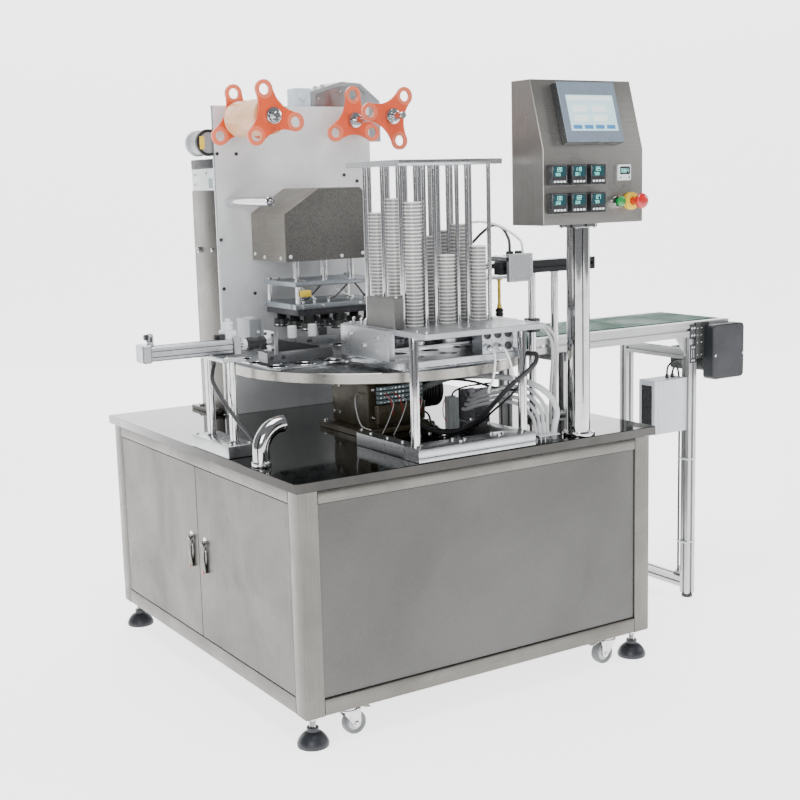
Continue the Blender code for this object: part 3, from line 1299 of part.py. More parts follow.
tube_curve("air_hose", [
    (lift_mid_x, 0.474, arm_z0 + 0.066 + CORD_GAP), (lift_mid_x, 0.474, 0.504), (0.792, 0.462, 0.526),
    (0.815, 0.430, 0.550), (0.850, 0.370, 0.543), (0.880, 0.312, 0.506), (0.886, 0.300, 0.482),
    (0.886, 0.300, rail_top + CARRIAGE_SHEET + CORD_GAP),
], 0.0035, white)
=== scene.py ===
import math

import bpy
import numpy as np
from mathutils import Matrix, Vector


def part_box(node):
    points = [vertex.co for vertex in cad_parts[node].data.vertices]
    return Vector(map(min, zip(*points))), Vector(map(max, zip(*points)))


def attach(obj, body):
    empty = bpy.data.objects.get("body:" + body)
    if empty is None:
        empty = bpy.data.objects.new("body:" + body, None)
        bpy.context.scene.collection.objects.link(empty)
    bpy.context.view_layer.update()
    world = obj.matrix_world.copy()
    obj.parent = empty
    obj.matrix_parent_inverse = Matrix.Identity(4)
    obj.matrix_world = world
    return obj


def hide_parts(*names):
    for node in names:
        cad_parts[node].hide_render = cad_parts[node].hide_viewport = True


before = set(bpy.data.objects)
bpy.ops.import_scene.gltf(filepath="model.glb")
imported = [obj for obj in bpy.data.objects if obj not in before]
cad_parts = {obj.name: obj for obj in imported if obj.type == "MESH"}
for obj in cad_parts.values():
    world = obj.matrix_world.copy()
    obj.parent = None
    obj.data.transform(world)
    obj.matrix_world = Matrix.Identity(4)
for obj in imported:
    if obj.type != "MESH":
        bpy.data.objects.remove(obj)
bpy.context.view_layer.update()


# Camera
# A long lens looks down on the machine from its front left corner. Places are millimetres from the
# near left corner of the worktop's polished face: X along the front edge, Y to the back and Z up.
worktop_low, worktop_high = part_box("worktop")
CORNER = np.array([worktop_low[0], worktop_low[1], worktop_high[2]])
MM = 0.001
CAMERA_SPOT = (-1346.2, -2563.2, 665.2)
CAMERA_TURN = math.radians(32.48)
CAMERA_DOWN = math.radians(9.41)
CAMERA_ROLL = math.radians(-1.49)
LENS = 59.155


def at(x, y, z):
    """A point so many millimetres from the worktop's corner, in the machine's own frame, in metres."""
    return CORNER + MM * np.array([x, y, z], float)


def span(node):
    """A node's box in millimetres from the worktop's corner, as x0, x1, y0, y1, z0, z1."""
    low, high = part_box(node)
    return tuple((np.array([low, high]) - CORNER).T.ravel() / MM)


ahead = Vector((math.sin(CAMERA_TURN) * math.cos(CAMERA_DOWN),
                math.cos(CAMERA_TURN) * math.cos(CAMERA_DOWN), -math.sin(CAMERA_DOWN)))
level = Vector((math.cos(CAMERA_TURN), -math.sin(CAMERA_TURN), 0.0))
upright = level.cross(ahead)
right_hand = level * math.cos(CAMERA_ROLL) + upright * math.sin(CAMERA_ROLL)
overhead = upright * math.cos(CAMERA_ROLL) - level * math.sin(CAMERA_ROLL)
camera = bpy.data.objects.new("camera", bpy.data.cameras.new("camera"))
bpy.context.collection.objects.link(camera)
camera.data.lens = LENS
camera.data.sensor_width = 36.0
camera.data.clip_end = 60.0
camera.matrix_world = Matrix.Translation(Vector(at(*CAMERA_SPOT))) @ Matrix(
    (right_hand, overhead, -ahead)).transposed().to_4x4()
bpy.context.scene.camera = camera


# Shapes and finish of the free cables and hoses
# Two black cables in a rubber sheath, a pale ribbed conduit and a clear air hose hang between the
# stations. Each runs straight out of its fitting and then bends under its own weight.
def skin(rings, loop=False, grain="along"):
    """A closed surface over rings of points: a quad between neighbours, one flat face on each end.

    rings[i, j] is point j of ring i, and the rings close on themselves in j. With loop the last
    ring joins the first. The UV map is in metres, its first number along the grain.
    """
    rows, columns = rings.shape[:2]
    index = np.arange(rows * columns).reshape(rows, columns)
    path = rings
    if loop:
        index = np.vstack([index, index[:1]])
        path = np.concatenate([rings, rings[:1]])
    beside = np.roll(index, -1, axis=1)
    quads = np.stack([index[:-1], beside[:-1], beside[1:], index[1:]], axis=-1).reshape(-1, 4)
    run = np.append(0.0, np.cumsum(np.linalg.norm(np.diff(path, axis=0), axis=2).mean(axis=1)))
    girth = np.append(0.0, np.cumsum(np.linalg.norm(np.roll(rings, -1, axis=1) - rings,
                                                    axis=2).max(axis=0)))
    u = np.stack(np.broadcast_arrays(run[:-1, None], run[:-1, None], run[1:, None], run[1:, None]), -1)
    v = np.stack(np.broadcast_arrays(girth[:-1], girth[1:], girth[1:], girth[:-1]), -1)
    u, v = np.broadcast_arrays(u, v[None])
    uv = np.stack([u, v] if grain == "along" else [v, u], axis=-1).reshape(-1, 4, 2)
    points = rings.reshape(-1, 3)
    centred = points - points.mean(axis=0)
    a, b, c, d = (centred[quads[:, k]] for k in range(4))
    volume = np.sum(a * np.cross(b, c)) + np.sum(a * np.cross(c, d))
    caps = []
    if not loop:
        for ring, sign in ((index[0], -1.0), (index[-1], 1.0)):
            fan = centred[ring]
            volume += sign * np.sum(fan[0] * np.cross(fan[:-1], fan[1:]))
            caps.append(ring if sign > 0.0 else ring[::-1])
    if volume < 0.0:
        quads, uv = quads[:, ::-1], uv[:, ::-1]
        caps = [ring[::-1] for ring in caps]
    loops = [quads.ravel()] + caps
    marks = [uv.reshape(-1, 2)]
    for ring in caps:
        flat = points[ring]
        wide = np.argsort(flat.min(axis=0) - flat.max(axis=0))[:2]
        marks.append(flat[:, wide])
    sizes = np.append(np.full(len(quads), 4), [len(ring) for ring in caps]).astype(int)
    smooth = np.append(np.ones(len(quads), bool), np.zeros(len(caps), bool))
    return points, np.concatenate(loops), sizes, np.concatenate(marks), smooth


def tube(line, radius, sides=12, grain="along"):
    """A round bar along a line of points: ring i is p(i) + r (cos t side(i) + sin t up(i)).

    side is square to the line and to the direction in which the line is thinnest. The line is in
    metres, and radius is one number in millimetres or one for each point.
    """
    line = np.asarray(line, float)
    course = np.gradient(line, axis=0)
    course /= np.linalg.norm(course, axis=1, keepdims=True)
    thin = np.linalg.svd(line - line.mean(axis=0))[2][2]
    side = np.cross(course, thin)
    side /= np.linalg.norm(side, axis=1, keepdims=True)
    rise = np.cross(side, course)
    turn = np.linspace(0.0, 2 * math.pi, sides, endpoint=False)[None, :, None]
    radius = MM * np.broadcast_to(radius, len(line))[:, None, None]
    ring = np.cos(turn) * side[:, None] + np.sin(turn) * rise[:, None]
    return skin(line[:, None] + radius * ring, grain=grain)


def cubic(four, t):
    """The Catmull-Rom cubic through four points, at shares t of the way from the second to the third."""
    p0, p1, p2, p3 = four
    return 0.5 * (2 * p1 + (p2 - p0) * t + (2 * p0 - 5 * p1 + 4 * p2 - p3) * t ** 2
                  + (3 * p1 - p0 - 3 * p2 + p3) * t ** 3)


def hung_line(route, spacing):
    """Points at about the given spacing along a smooth line through the route.

    Each inner stretch is the cubic through its four nearest points, and the first and last
    stretch are straight.
    """
    spots = np.array([at(*spot) for spot in route])
    line = [spots[:1]]
    for i in range(1, len(spots) - 2):
        steps = max(1, round(np.linalg.norm(spots[i + 1] - spots[i]) / (MM * spacing)))
        line.append(cubic(spots[i - 1:i + 3], (np.arange(steps) / steps)[:, None]))
    line.append(spots[-2:])
    return np.concatenate(line)


def piece(name, look, skins, replaces=(), body="machine"):
    """One named mesh from several skins, which rides on a body and stands for the nodes named."""
    if isinstance(skins, tuple):
        skins = [skins]
    starts = np.cumsum([0] + [len(part[0]) for part in skins])
    loops = np.concatenate([part[1] + start for part, start in zip(skins, starts)])
    sizes = np.concatenate([part[2] for part in skins])
    mesh = bpy.data.meshes.new(name)
    mesh.vertices.add(starts[-1])
    mesh.vertices.foreach_set("co", np.concatenate([part[0] for part in skins]).ravel())
    mesh.loops.add(len(loops))
    mesh.loops.foreach_set("vertex_index", loops)
    mesh.polygons.add(len(sizes))
    mesh.polygons.foreach_set("loop_start", np.append(0, np.cumsum(sizes)[:-1]))
    mesh.polygons.foreach_set("use_smooth", np.concatenate([part[4] for part in skins]))
    mesh.uv_layers.new(name="metres")
    mesh.uv_layers[0].data.foreach_set("uv", np.concatenate([part[3] for part in skins]).ravel())
    mesh.update(calc_edges=True)
    mesh.validate()
    mesh.set_sharp_from_angle(angle=math.radians(32))
    mesh.materials.append(look)
    obj = bpy.data.objects.new(name, mesh)
    bpy.context.collection.objects.link(obj)
    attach(obj, body)
    if replaces:
        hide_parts(*replaces)
    return obj


def shader(tree, kind, *values, settings=(), **sockets):
    """A shader node with its sockets set in order or by name; an output given as a value is linked."""
    node = tree.nodes.new(kind)
    for name, value in dict(settings).items():
        setattr(node, name, value)
    for key, value in list(enumerate(values)) + list(sockets.items()):
        socket = node.inputs[key.replace("_", " ") if isinstance(key, str) else key]
        if isinstance(value, bpy.types.NodeSocket):
            tree.links.new(value, socket)
        else:
            socket.default_value = value
    return node


def effect(name, inputs, output):
    """A shader node group with the named inputs and one number as its output."""
    tree = bpy.data.node_groups.new(name, "ShaderNodeTree")
    for socket, kind in inputs.items():
        tree.interface.new_socket(socket, in_out="INPUT", socket_type="NodeSocket" + kind)
    tree.interface.new_socket(output, in_out="OUTPUT", socket_type="NodeSocketFloat")
    return tree, tree.nodes.new("NodeGroupInput").outputs, tree.nodes.new("NodeGroupOutput").inputs[0]


# Brushed lines: noise stretched along the grain and fine across it
brushed_lines, given, result = effect("brushed lines", {"Place": "Vector", "Per metre": "Vector"}, "Lines")
drawn = shader(brushed_lines, "ShaderNodeVectorMath", given["Place"], given["Per metre"],
               settings={"operation": "MULTIPLY"})
streaks = shader(brushed_lines, "ShaderNodeTexNoise", Vector=drawn.outputs[0], Scale=1.0, Detail=4.0,
                 Roughness=0.65)
brushed_lines.links.new(streaks.outputs[0], result)

# Handling marks: broad clouds, as on metal that is wiped and touched by hand
handling_marks, given, result = effect("handling marks", {"Place": "Vector", "Per metre": "Float"}, "Marks")
clouds = shader(handling_marks, "ShaderNodeTexNoise", Vector=given["Place"], Scale=given["Per metre"],
                Detail=6.0, Roughness=0.6, Distortion=0.5)
marked = shader(handling_marks, "ShaderNodeMapRange", clouds.outputs[0], 0.38, 0.68)
handling_marks.links.new(marked.outputs[0], result)

# Fine spots: the orange peel of textured paint and moulded plastic
fine_spots, given, result = effect("fine spots", {"Place": "Vector", "Per metre": "Float"}, "Spots")
cells = shader(fine_spots, "ShaderNodeTexNoise", Vector=given["Place"], Scale=given["Per metre"],
               Detail=1.0)
spotted = shader(fine_spots, "ShaderNodeMapRange", cells.outputs[0], 0.36, 0.64)
fine_spots.links.new(spotted.outputs[0], result)


def times(tree, first, second):
    """The product of two number outputs."""
    return shader(tree, "ShaderNodeMath", first, second, settings={"operation": "MULTIPLY"}).outputs[0]


def finish(name, colour, metal=0.0, rough=0.4, lines=None, place="UV", line_depth=0.00006, marks=0.3,
           mark_size=9.0, spots=0.0, spot_size=700.0, spot_depth=0.00008, **fixed):
    """A surface whose colour, gloss and height vary with brushed lines, handling marks and spots.

    lines says how many brushed lines there are in a metre along each axis of place. Every mask
    scales the colour about 1 and the roughness about its middle value, and the height is in metres.
    """
    look = bpy.data.materials.new(name)
    look.use_nodes = True
    tree = look.node_tree
    surface = tree.nodes["Principled BSDF"]
    surface.inputs["Metallic"].default_value = metal
    for socket, value in fixed.items():
        surface.inputs[socket.replace("_", " ")].default_value = value
    where = shader(tree, "ShaderNodeTexCoord").outputs
    group = {"node_tree": handling_marks}
    mask = shader(tree, "ShaderNodeGroup", where["Object"], mark_size, settings=group).outputs[0]
    shade = shader(tree, "ShaderNodeMapRange", mask, 0.0, 1.0, 1.0 + 0.1 * marks,
                   1.0 - 0.25 * marks).outputs[0]
    gloss = shader(tree, "ShaderNodeMapRange", mask, 0.0, 1.0, rough * (1.0 - 0.4 * marks),
                   rough * (1.0 + 0.7 * marks)).outputs[0]
    normal = None
    if lines:
        group = {"node_tree": brushed_lines}
        mask = shader(tree, "ShaderNodeGroup", where[place], lines, settings=group).outputs[0]
        shade = times(tree, shade, shader(tree, "ShaderNodeMapRange", mask, 0.3, 0.7, 0.84,
                                          1.12).outputs[0])
        gloss = times(tree, gloss, shader(tree, "ShaderNodeMapRange", mask, 0.3, 0.7, 1.2, 0.8).outputs[0])
        normal = shader(tree, "ShaderNodeBump", Strength=1.0, Distance=line_depth, Height=mask).outputs[0]
    if spots:
        group = {"node_tree": fine_spots}
        mask = shader(tree, "ShaderNodeGroup", where["Object"], spot_size, settings=group).outputs[0]
        shade = times(tree, shade, shader(tree, "ShaderNodeMapRange", mask, 0.0, 1.0, 1.0 - spots,
                                          1.0 + spots).outputs[0])
        bump = shader(tree, "ShaderNodeBump", Strength=1.0, Distance=spot_depth, Height=mask)
        if normal:
            tree.links.new(normal, bump.inputs["Normal"])
        normal = bump.outputs[0]
    tint = shader(tree, "ShaderNodeVectorMath", colour, settings={"operation": "SCALE"}, Scale=shade)
    tree.links.new(tint.outputs[0], surface.inputs["Base Color"])
    tree.links.new(gloss, surface.inputs["Roughness"])
    if normal:
        tree.links.new(normal, surface.inputs["Normal"])
    return look


def cord(name, body, route, half_thick, look, replaces=()):
    """A free cord on a route from one fitting to the other."""
    line = hung_line(route, half_thick)
    sheath = piece(name, look, tube(line, half_thick, 16), replaces, body=body)


black_sheath = finish("black_sheath", (0.022, 0.022, 0.024), rough=0.45, marks=0.6, spots=0.15,
                      spot_size=1500)
grey_conduit = finish("grey_conduit", (0.55, 0.56, 0.57), rough=0.42, lines=(420, 0, 0), line_depth=0.0012)
clear_hose = finish("clear_hose", (0.82, 0.86, 0.88), rough=0.18, marks=0.3, Coat_Weight=0.5,
                    Transmission_Weight=0.35)
cord("slide_cable_sheath", "machine", (
    (30, 470, 235.7), (30, 470, 222), (20, 458, 208), (6, 430, 186), (8, 380, 145), (20, 330, 100),
    (36, 300, 66), (52, 286, 36), (56, 284, 18),
    (56, 284, 0.3)), 5, black_sheath, ["slide_cable"])
cord("drive_cable_sheath", "machine", (
    (545, 394.7, 45), (545, 376, 45), (547, 340, 34), (560, 290, 16), (590, 235, 12), (622, 180, 38),
    (634, 140, 70), (643, 100, 109), (654, 50, 155), (668, 12, 186), (690, 0, 212), (703, 14, 230),
    (703, 32, 230), (703, 49.7, 230)), 6, black_sheath, ["drive_cable"])
cord("worktop_conduit_wall", "machine", (
    (605.3, 450, 90), (622, 450, 90), (645, 410, 112), (668, 320, 142), (700, 190, 155), (732, 90, 148),
    (764, 45, 120), (783, 32, 78), (782, 38, 40), (780, 40, 20),
    (780, 40, 0.3)), 8, grey_conduit,
    ["worktop_conduit"])
cord("air_hose_wall", "gripper", (
    (786, 474, 490.3), (786, 474, 504), (792, 462, 526), (815, 430, 550), (850, 370, 543),
    (880, 312, 506), (886, 300, 482), (886, 300, 458.3)),
    3.5, clear_hose, ["air_hose"])


# Floor and studio light
# The machine stands on a pale sheet that sweeps up behind it, under broad soft lights.
def soft_light(name, spot, aim, size, power):
    """A square area light at a spot, turned to face the point aim."""
    lamp = bpy.data.lights.new(name, "AREA")
    lamp.size = size
    lamp.energy = power
    holder = bpy.data.objects.new(name, lamp)
    bpy.context.collection.objects.link(holder)
    holder.location = spot
    holder.rotation_euler = (Vector(aim) - Vector(spot)).to_track_quat("-Z", "Y").to_euler()


soft_light("overhead_light", (-0.8, -0.6, 4.0), (0.0, 0.0, 0.8), 2.2, 130.0)
soft_light("front_light", (-3.4, -3.6, 2.2), (0.0, 0.0, 0.8), 1.6, 85.0)
soft_light("right_light", (3.8, -2.6, 2.4), (0.2, 0.0, 0.8), 1.2, 40.0)
SWEEP_START = 5.0
SWEEP_RADIUS = 3.0
SWEEP_HALF = 14.0
quarter = np.linspace(0.0, math.pi / 2, 17)
sweep_back = np.concatenate([[-SWEEP_HALF], SWEEP_START + SWEEP_RADIUS * np.sin(quarter),
                             [SWEEP_START + SWEEP_RADIUS]])
sweep_rise = np.concatenate([[0.0], SWEEP_RADIUS * (1.0 - np.cos(quarter)), [3 * SWEEP_RADIUS]])
sweep = np.stack(np.broadcast_arrays(np.array([[-SWEEP_HALF], [SWEEP_HALF]]), sweep_back, sweep_rise),
                 axis=-1)
row = np.arange(len(sweep_back) - 1)
sweep_quads = np.stack([row, row + len(sweep_back), row + len(sweep_back) + 1, row + 1], axis=1)
floor_mesh = bpy.data.meshes.new("floor")
floor_mesh.from_pydata(sweep.reshape(-1, 3).tolist(), [], sweep_quads.tolist())
floor_mesh.shade_smooth()
floor = bpy.data.objects.new("floor", floor_mesh)
floor.rotation_euler = (0.0, 0.0, -CAMERA_TURN)
bpy.context.collection.objects.link(floor)
floor_mesh.materials.append(finish("floor_paper", (0.90, 0.90, 0.91), rough=0.8, marks=0.05, mark_size=0.5,
                                   Emission_Color=(1, 1, 1, 1), Emission_Strength=2.4))
card_black = finish("card_black", (0.010, 0.010, 0.010), rough=0.9, marks=0.05)
for x, y, turn, wide in ((-3.2, -1.2, 70.0, 1.2), (0.6, -4.6, 5.0, 1.0), (3.0, 0.2, -70.0, 1.0)):
    card_mesh = bpy.data.meshes.new("dark_card")
    card_mesh.from_pydata([(-wide / 2, 0.0, 0.0), (wide / 2, 0.0, 0.0), (wide / 2, 0.0, 2.4),
                           (-wide / 2, 0.0, 2.4)], [],
                          [(0, 1, 2, 3)])
    card_mesh.materials.append(card_black)
    card = bpy.data.objects.new("dark_card", card_mesh)
    card.location = (x, y, 0.05)
    card.rotation_euler = (0.0, 0.0, math.radians(turn))
    card.visible_camera = False
    bpy.context.collection.objects.link(card)
world = bpy.data.worlds.new("studio")
world.use_nodes = True
seen = shader(world.node_tree, "ShaderNodeLightPath").outputs["Is Camera Ray"]
backdrop = shader(world.node_tree, "ShaderNodeMapRange", seen, 0.0, 1.0, 0.35, 2.75)
world.node_tree.nodes["Background"].inputs["Color"].default_value = (0.95, 0.97, 1.0, 1.0)
world.node_tree.links.new(backdrop.outputs[0], world.node_tree.nodes["Background"].inputs["Strength"])
bpy.context.scene.world = world


# Cabinet frame
# Welded from brushed stainless square tube: four posts, with a rail above and below on each side.
# The welds are ground flush, so only a fine line is left where a rail meets a post.
def square(a0, a1, b0, b1, corner=2, steps=2):
    """The outline of a rectangle whose corners are arcs of the given radius and number of steps."""
    turn = (np.arange(4)[:, None] + np.linspace(0, 1, steps + 1)) * math.pi / 2
    mid_a = np.array([a1 - corner, a0 + corner, a0 + corner, a1 - corner])[:, None]
    mid_b = np.array([b1 - corner, b1 - corner, b0 + corner, b0 + corner])[:, None]
    return np.stack([mid_a + corner * np.cos(turn), mid_b + corner * np.sin(turn)], axis=-1).reshape(-1, 2)


def disc(a, b, radius, sides=24):
    """The outline of a circle about (a, b)."""
    turn = np.linspace(0, 2 * math.pi, sides, endpoint=False)
    return np.stack([a + radius * np.cos(turn), b + radius * np.sin(turn)], axis=-1)


def set_along(flat, level, axis):
    """Rings in metres from flat outlines across an axis, ring i at level(i) along it."""
    rings = np.empty(flat.shape[:2] + (3,))
    rings[..., {"X": [1, 2], "Y": [0, 2], "Z": [0, 1]}[axis]] = flat
    rings[..., "XYZ".index(axis)] = level[:, None]
    return MM * rings


def carry(outline, axis, start, end, ease=1, grain="along"):
    """A flat outline carried along an axis, its end edges eased by a 45 degree face.

    The outline is (y, z) for axis X, (x, z) for Y and (x, y) for Z. Each ring is the outline moved
    inwards by its inset, along the line that halves each corner.
    """
    outline = np.asarray(outline, float)
    after = np.roll(outline, -1, axis=0) - outline
    after /= np.linalg.norm(after, axis=1, keepdims=True)
    before = np.roll(after, 1, axis=0)
    following = np.roll(outline, -1, axis=0)
    way = np.sign(np.sum(outline[:, 0] * following[:, 1] - following[:, 0] * outline[:, 1]))
    halved = np.stack([-(before + after)[:, 1], (before + after)[:, 0]], axis=1)
    halved *= way / (1 + np.sum(before * after, axis=1, keepdims=True))
    inset = np.array([ease, 0, 0, ease])
    height = np.array([start, start + ease, end - ease, end])
    if ease == 0:
        inset, height = inset[:2], np.array([start, end])
    return skin(CORNER + set_along(outline + halved * inset[:, None, None], height, axis), grain=grain)


def block(x0, x1, y0, y1, z0, z1, corner=1.5, ease=1, along=None):
    """A rectangular bar with eased edges; its grain runs along its longest side unless one is named."""
    sizes = {"X": x1 - x0, "Y": y1 - y0, "Z": z1 - z0}
    axis = along or max(sizes, key=sizes.get)
    sides = {"X": (y0, y1, z0, z1), "Y": (x0, x1, z0, z1), "Z": (x0, x1, y0, y1)}[axis]
    ends = {"X": (x0, x1), "Y": (y0, y1), "Z": (z0, z1)}[axis]
    return carry(square(*sides, corner), axis, *ends, ease)


frame_x0, frame_x1, frame_y0, frame_y1, frame_z0, frame_z1 = span("cabinet_frame")
POST = 52
RAIL_TOP = 34
RAIL_BOTTOM = 43
WELD_LINE = 0.3
brushed_steel = finish("brushed_steel", (0.140, 0.134, 0.122), metal=1, rough=0.30, lines=(5, 900, 0),
                       marks=0.45, mark_size=5)
bars = []
for x in (frame_x0, frame_x1 - POST):
    for y in (frame_y0, frame_y1 - POST):
        bars.append(block(x, x + POST, y, y + POST, frame_z0, frame_z1, 4))
for low, high in ((frame_z0, frame_z0 + RAIL_BOTTOM), (frame_z1 - RAIL_TOP, frame_z1)):
    for y in (frame_y0, frame_y1 - POST):
        bars.append(block(frame_x0 + POST + WELD_LINE, frame_x1 - POST - WELD_LINE, y + WELD_LINE,
                          y + POST - WELD_LINE, low, high, 4))
    for x in (frame_x0, frame_x1 - POST):
        bars.append(block(x + WELD_LINE, x + POST - WELD_LINE, frame_y0 + POST + WELD_LINE,
                          frame_y1 - POST - WELD_LINE, low, high, 4))
piece("frame_tubes", brushed_steel, bars, ["cabinet_frame"])

# Worktop
# A stainless plate polished to a mirror, folded down at its edges and laid on the frame. It has gone
# a little dark, and shows wiping marks.
top_x0, top_x1, top_y0, top_y1, top_z0, top_z1 = span("worktop")
mirror_steel = finish("mirror_steel", (0.060, 0.058, 0.055), metal=1, rough=0.07, marks=0.9, mark_size=6)
piece("worktop_plate", mirror_steel,
      carry(square(top_x0, top_x1, top_y0, top_y1, 3), "Z", top_z0, top_z1, 1.5), ["worktop"])

# Panels
# Sheets with a fine textured grey finish, set back into the openings of the frame and held from
# inside. The floor of the cabinet is plain brushed sheet.
panel_paint = finish("panel_paint", (0.092, 0.090, 0.087), metal=0.55, rough=0.36, spots=0.16,
                     spot_size=1100,
                     marks=0.35, mark_size=3)
for node in ("front_panel", "rear_panel"):
    x0, x1, y0, y1, z0, z1 = span(node)
    piece(node + "_sheet", panel_paint, carry(square(x0, x1, z0, z1), "Y", y0, y1, 0.8), [node])
x0, x1, y0, y1, z0, z1 = span("right_panel")
piece("right_panel_sheet", panel_paint,
      carry(square(y0, y1, z0, z1), "X", x0, x1, 0.8), ["right_panel"])
x0, x1, y0, y1, z0, z1 = span("floor_panel")
piece("floor_panel_sheet", brushed_steel,
      carry(square(x0, x1, y0, y1), "Z", z0, z1, 0.8), ["floor_panel"])

# Doors and latches
# Each door is a folded leaf of brushed stainless, grained upright, on pins at its outer corners. Its
# chrome swing handle stands on a small plate, above a spindle with a cam behind the leaf.
HANDLE_PLATE = 1.2
leaf_steel = finish("leaf_steel", (0.108, 0.103, 0.094), metal=1, rough=0.33, lines=(1200, 900, 4),
                    place="Object", marks=0.5, mark_size=4)
chrome = finish("chrome", (0.62, 0.62, 0.63), metal=1, rough=0.10, marks=0.5, mark_size=30)
red_enamel = finish("red_enamel", (0.50, 0.006, 0.006), rough=0.25, marks=0.4, mark_size=60,
                    Coat_Weight=0.6)
handle_steel = finish("handle_steel", (0.19, 0.185, 0.175), metal=1, rough=0.22, marks=0.5, mark_size=30)


def turned(profile, x, y, z, axis="Z", sides=32, loop=False, grain="around"):
    """A profile turned about an axis through (x, y, z): ring i is a circle of radius r(i) at height h(i).

    With loop the profile closes on itself, which leaves a hole through the middle.
    """
    radius, height = np.asarray(profile, float).T
    turn = np.linspace(0, 2 * math.pi, sides, endpoint=False)
    circles = radius[:, None, None] * np.stack([np.cos(turn), np.sin(turn)], axis=-1)
    return skin(at(x, y, z) + set_along(circles, height, axis), loop, grain)


def cap_screw(x, y, z, axis="Z", radius=4, way=1):
    """A socket head screw on the face at (x, y, z): a low drum with an eased edge and a sunk socket."""
    height = 0.9 * radius * way
    return turned([(radius, 0), (radius, 0.85 * height), (0.86 * radius, height), (0.5 * radius, height),
                   (0.45 * radius, 0.4 * height)], x, y, z, axis, 10)


def screw_grid(xs, ys, zs, *shape):
    """Screws at every mix of the places given, each a number or a row of numbers."""
    return [cap_screw(x, y, z, *shape) for x in np.atleast_1d(xs) for y in np.atleast_1d(ys)
            for z in np.atleast_1d(zs)]


bpy.data.objects["door_near"].data.materials[0] = leaf_steel
bpy.data.objects["door_far"].data.materials[0] = leaf_steel
for side in ("near", "far"):
    leaf_x0, leaf_x1 = span("door_" + side)[:2]
    grip_x0, _, grip_y0, grip_y1, grip_z0, grip_z1 = span("latch_" + side)
    mid_y = (grip_y0 + grip_y1) / 2
    pivot_z = grip_z1 - 14
    plate_x = leaf_x0 - HANDLE_PLATE / 4
    piece("handle_plate_" + side, chrome,
          carry(square(mid_y - 11, mid_y + 11, pivot_z - 22, pivot_z + 18, 8, 4), "X",
                leaf_x0 + 1, plate_x, 0.1), body="door_" + side)
    swell = np.linspace(0, 1, 13)
    grip_line = np.array([at(grip_x0 + 6.5 + 1.5 * math.cos(2 * math.pi * s), mid_y,
                             grip_z0 + 8 + s * (grip_z1 - 8 - grip_z0 - 6)) for s in swell])
    grip = tube(grip_line, 6.2 - 1.2 * np.sin(math.pi * swell), 14)
    hub = turned([(7.8, 0), (7.8, -9), (6, -10.8)], leaf_x0 - 0.6, mid_y, pivot_z, "X", 20)
    spindle = turned([(8, 0), (8, 18.5)], leaf_x0 - 0.3, mid_y, pivot_z, "X", 20)
    cam = block(leaf_x1 + 0.5, leaf_x1 + 3.8, mid_y - 10, mid_y + 10, pivot_z - 42, pivot_z + 10)
    piece("handle_" + side, handle_steel, [grip, hub, spindle, cam], ["latch_" + side],
          body="latch_" + side)
    piece("handle_dot_" + side, red_enamel,
          turned([(4.5, 0), (4.5, -1.2), (3, -1.8)], grip_x0 + 2.6, mid_y, grip_z0 + 10, "X", 16),
          body="latch_" + side)

# Levelling feet
# A black rubber pad with a domed shoulder on a chrome thread, and a lock nut under the frame.
pad_rubber = finish("pad_rubber", (0.018, 0.020, 0.026), rough=0.42, spots=0.12, spot_size=500, marks=0.6)
for corner in ("front_left", "rear_left", "front_right", "rear_right"):
    x0, x1, y0, y1, z0, z1 = span("foot_" + corner)
    foot_x, foot_y = (x0 + x1) / 2, (y0 + y1) / 2
    foot_r = (x1 - x0) / 2
    tall = z1 - z0
    dome = np.linspace(0, 1, 7)
    pad = [(foot_r * 0.985, 0), (foot_r, 1.5), (foot_r, 9)]
    pad += [(foot_r + (14.5 - foot_r) * s, 9 + 27 * s ** 0.72 + 3 * math.sin(math.pi * s))
            for s in dome[1:]]
    pad += [(14.5, 46), (13.5, 46.8)]
    piece("foot_pad_" + corner, pad_rubber,
          [turned(pad, foot_x, foot_y, z0, "Z", 40)], ["foot_" + corner])
    pitch = np.arange(45.5, tall - 12, 0.9)
    thread = [(7.9 - 0.6 * (k % 2), height) for k, height in enumerate(pitch)]
    nut = carry(disc(foot_x, foot_y, 14.8, 6), "Z", z1 - 11.8, z1 - 2.2, 0.8)
    washer = turned([(15.5, 0), (15.5, 1.8)], foot_x, foot_y, z1 - 2.1, "Z", 28)
    piece("foot_stem_" + corner, chrome,
          [turned(thread, foot_x, foot_y, z0, "Z", 20), nut, washer])

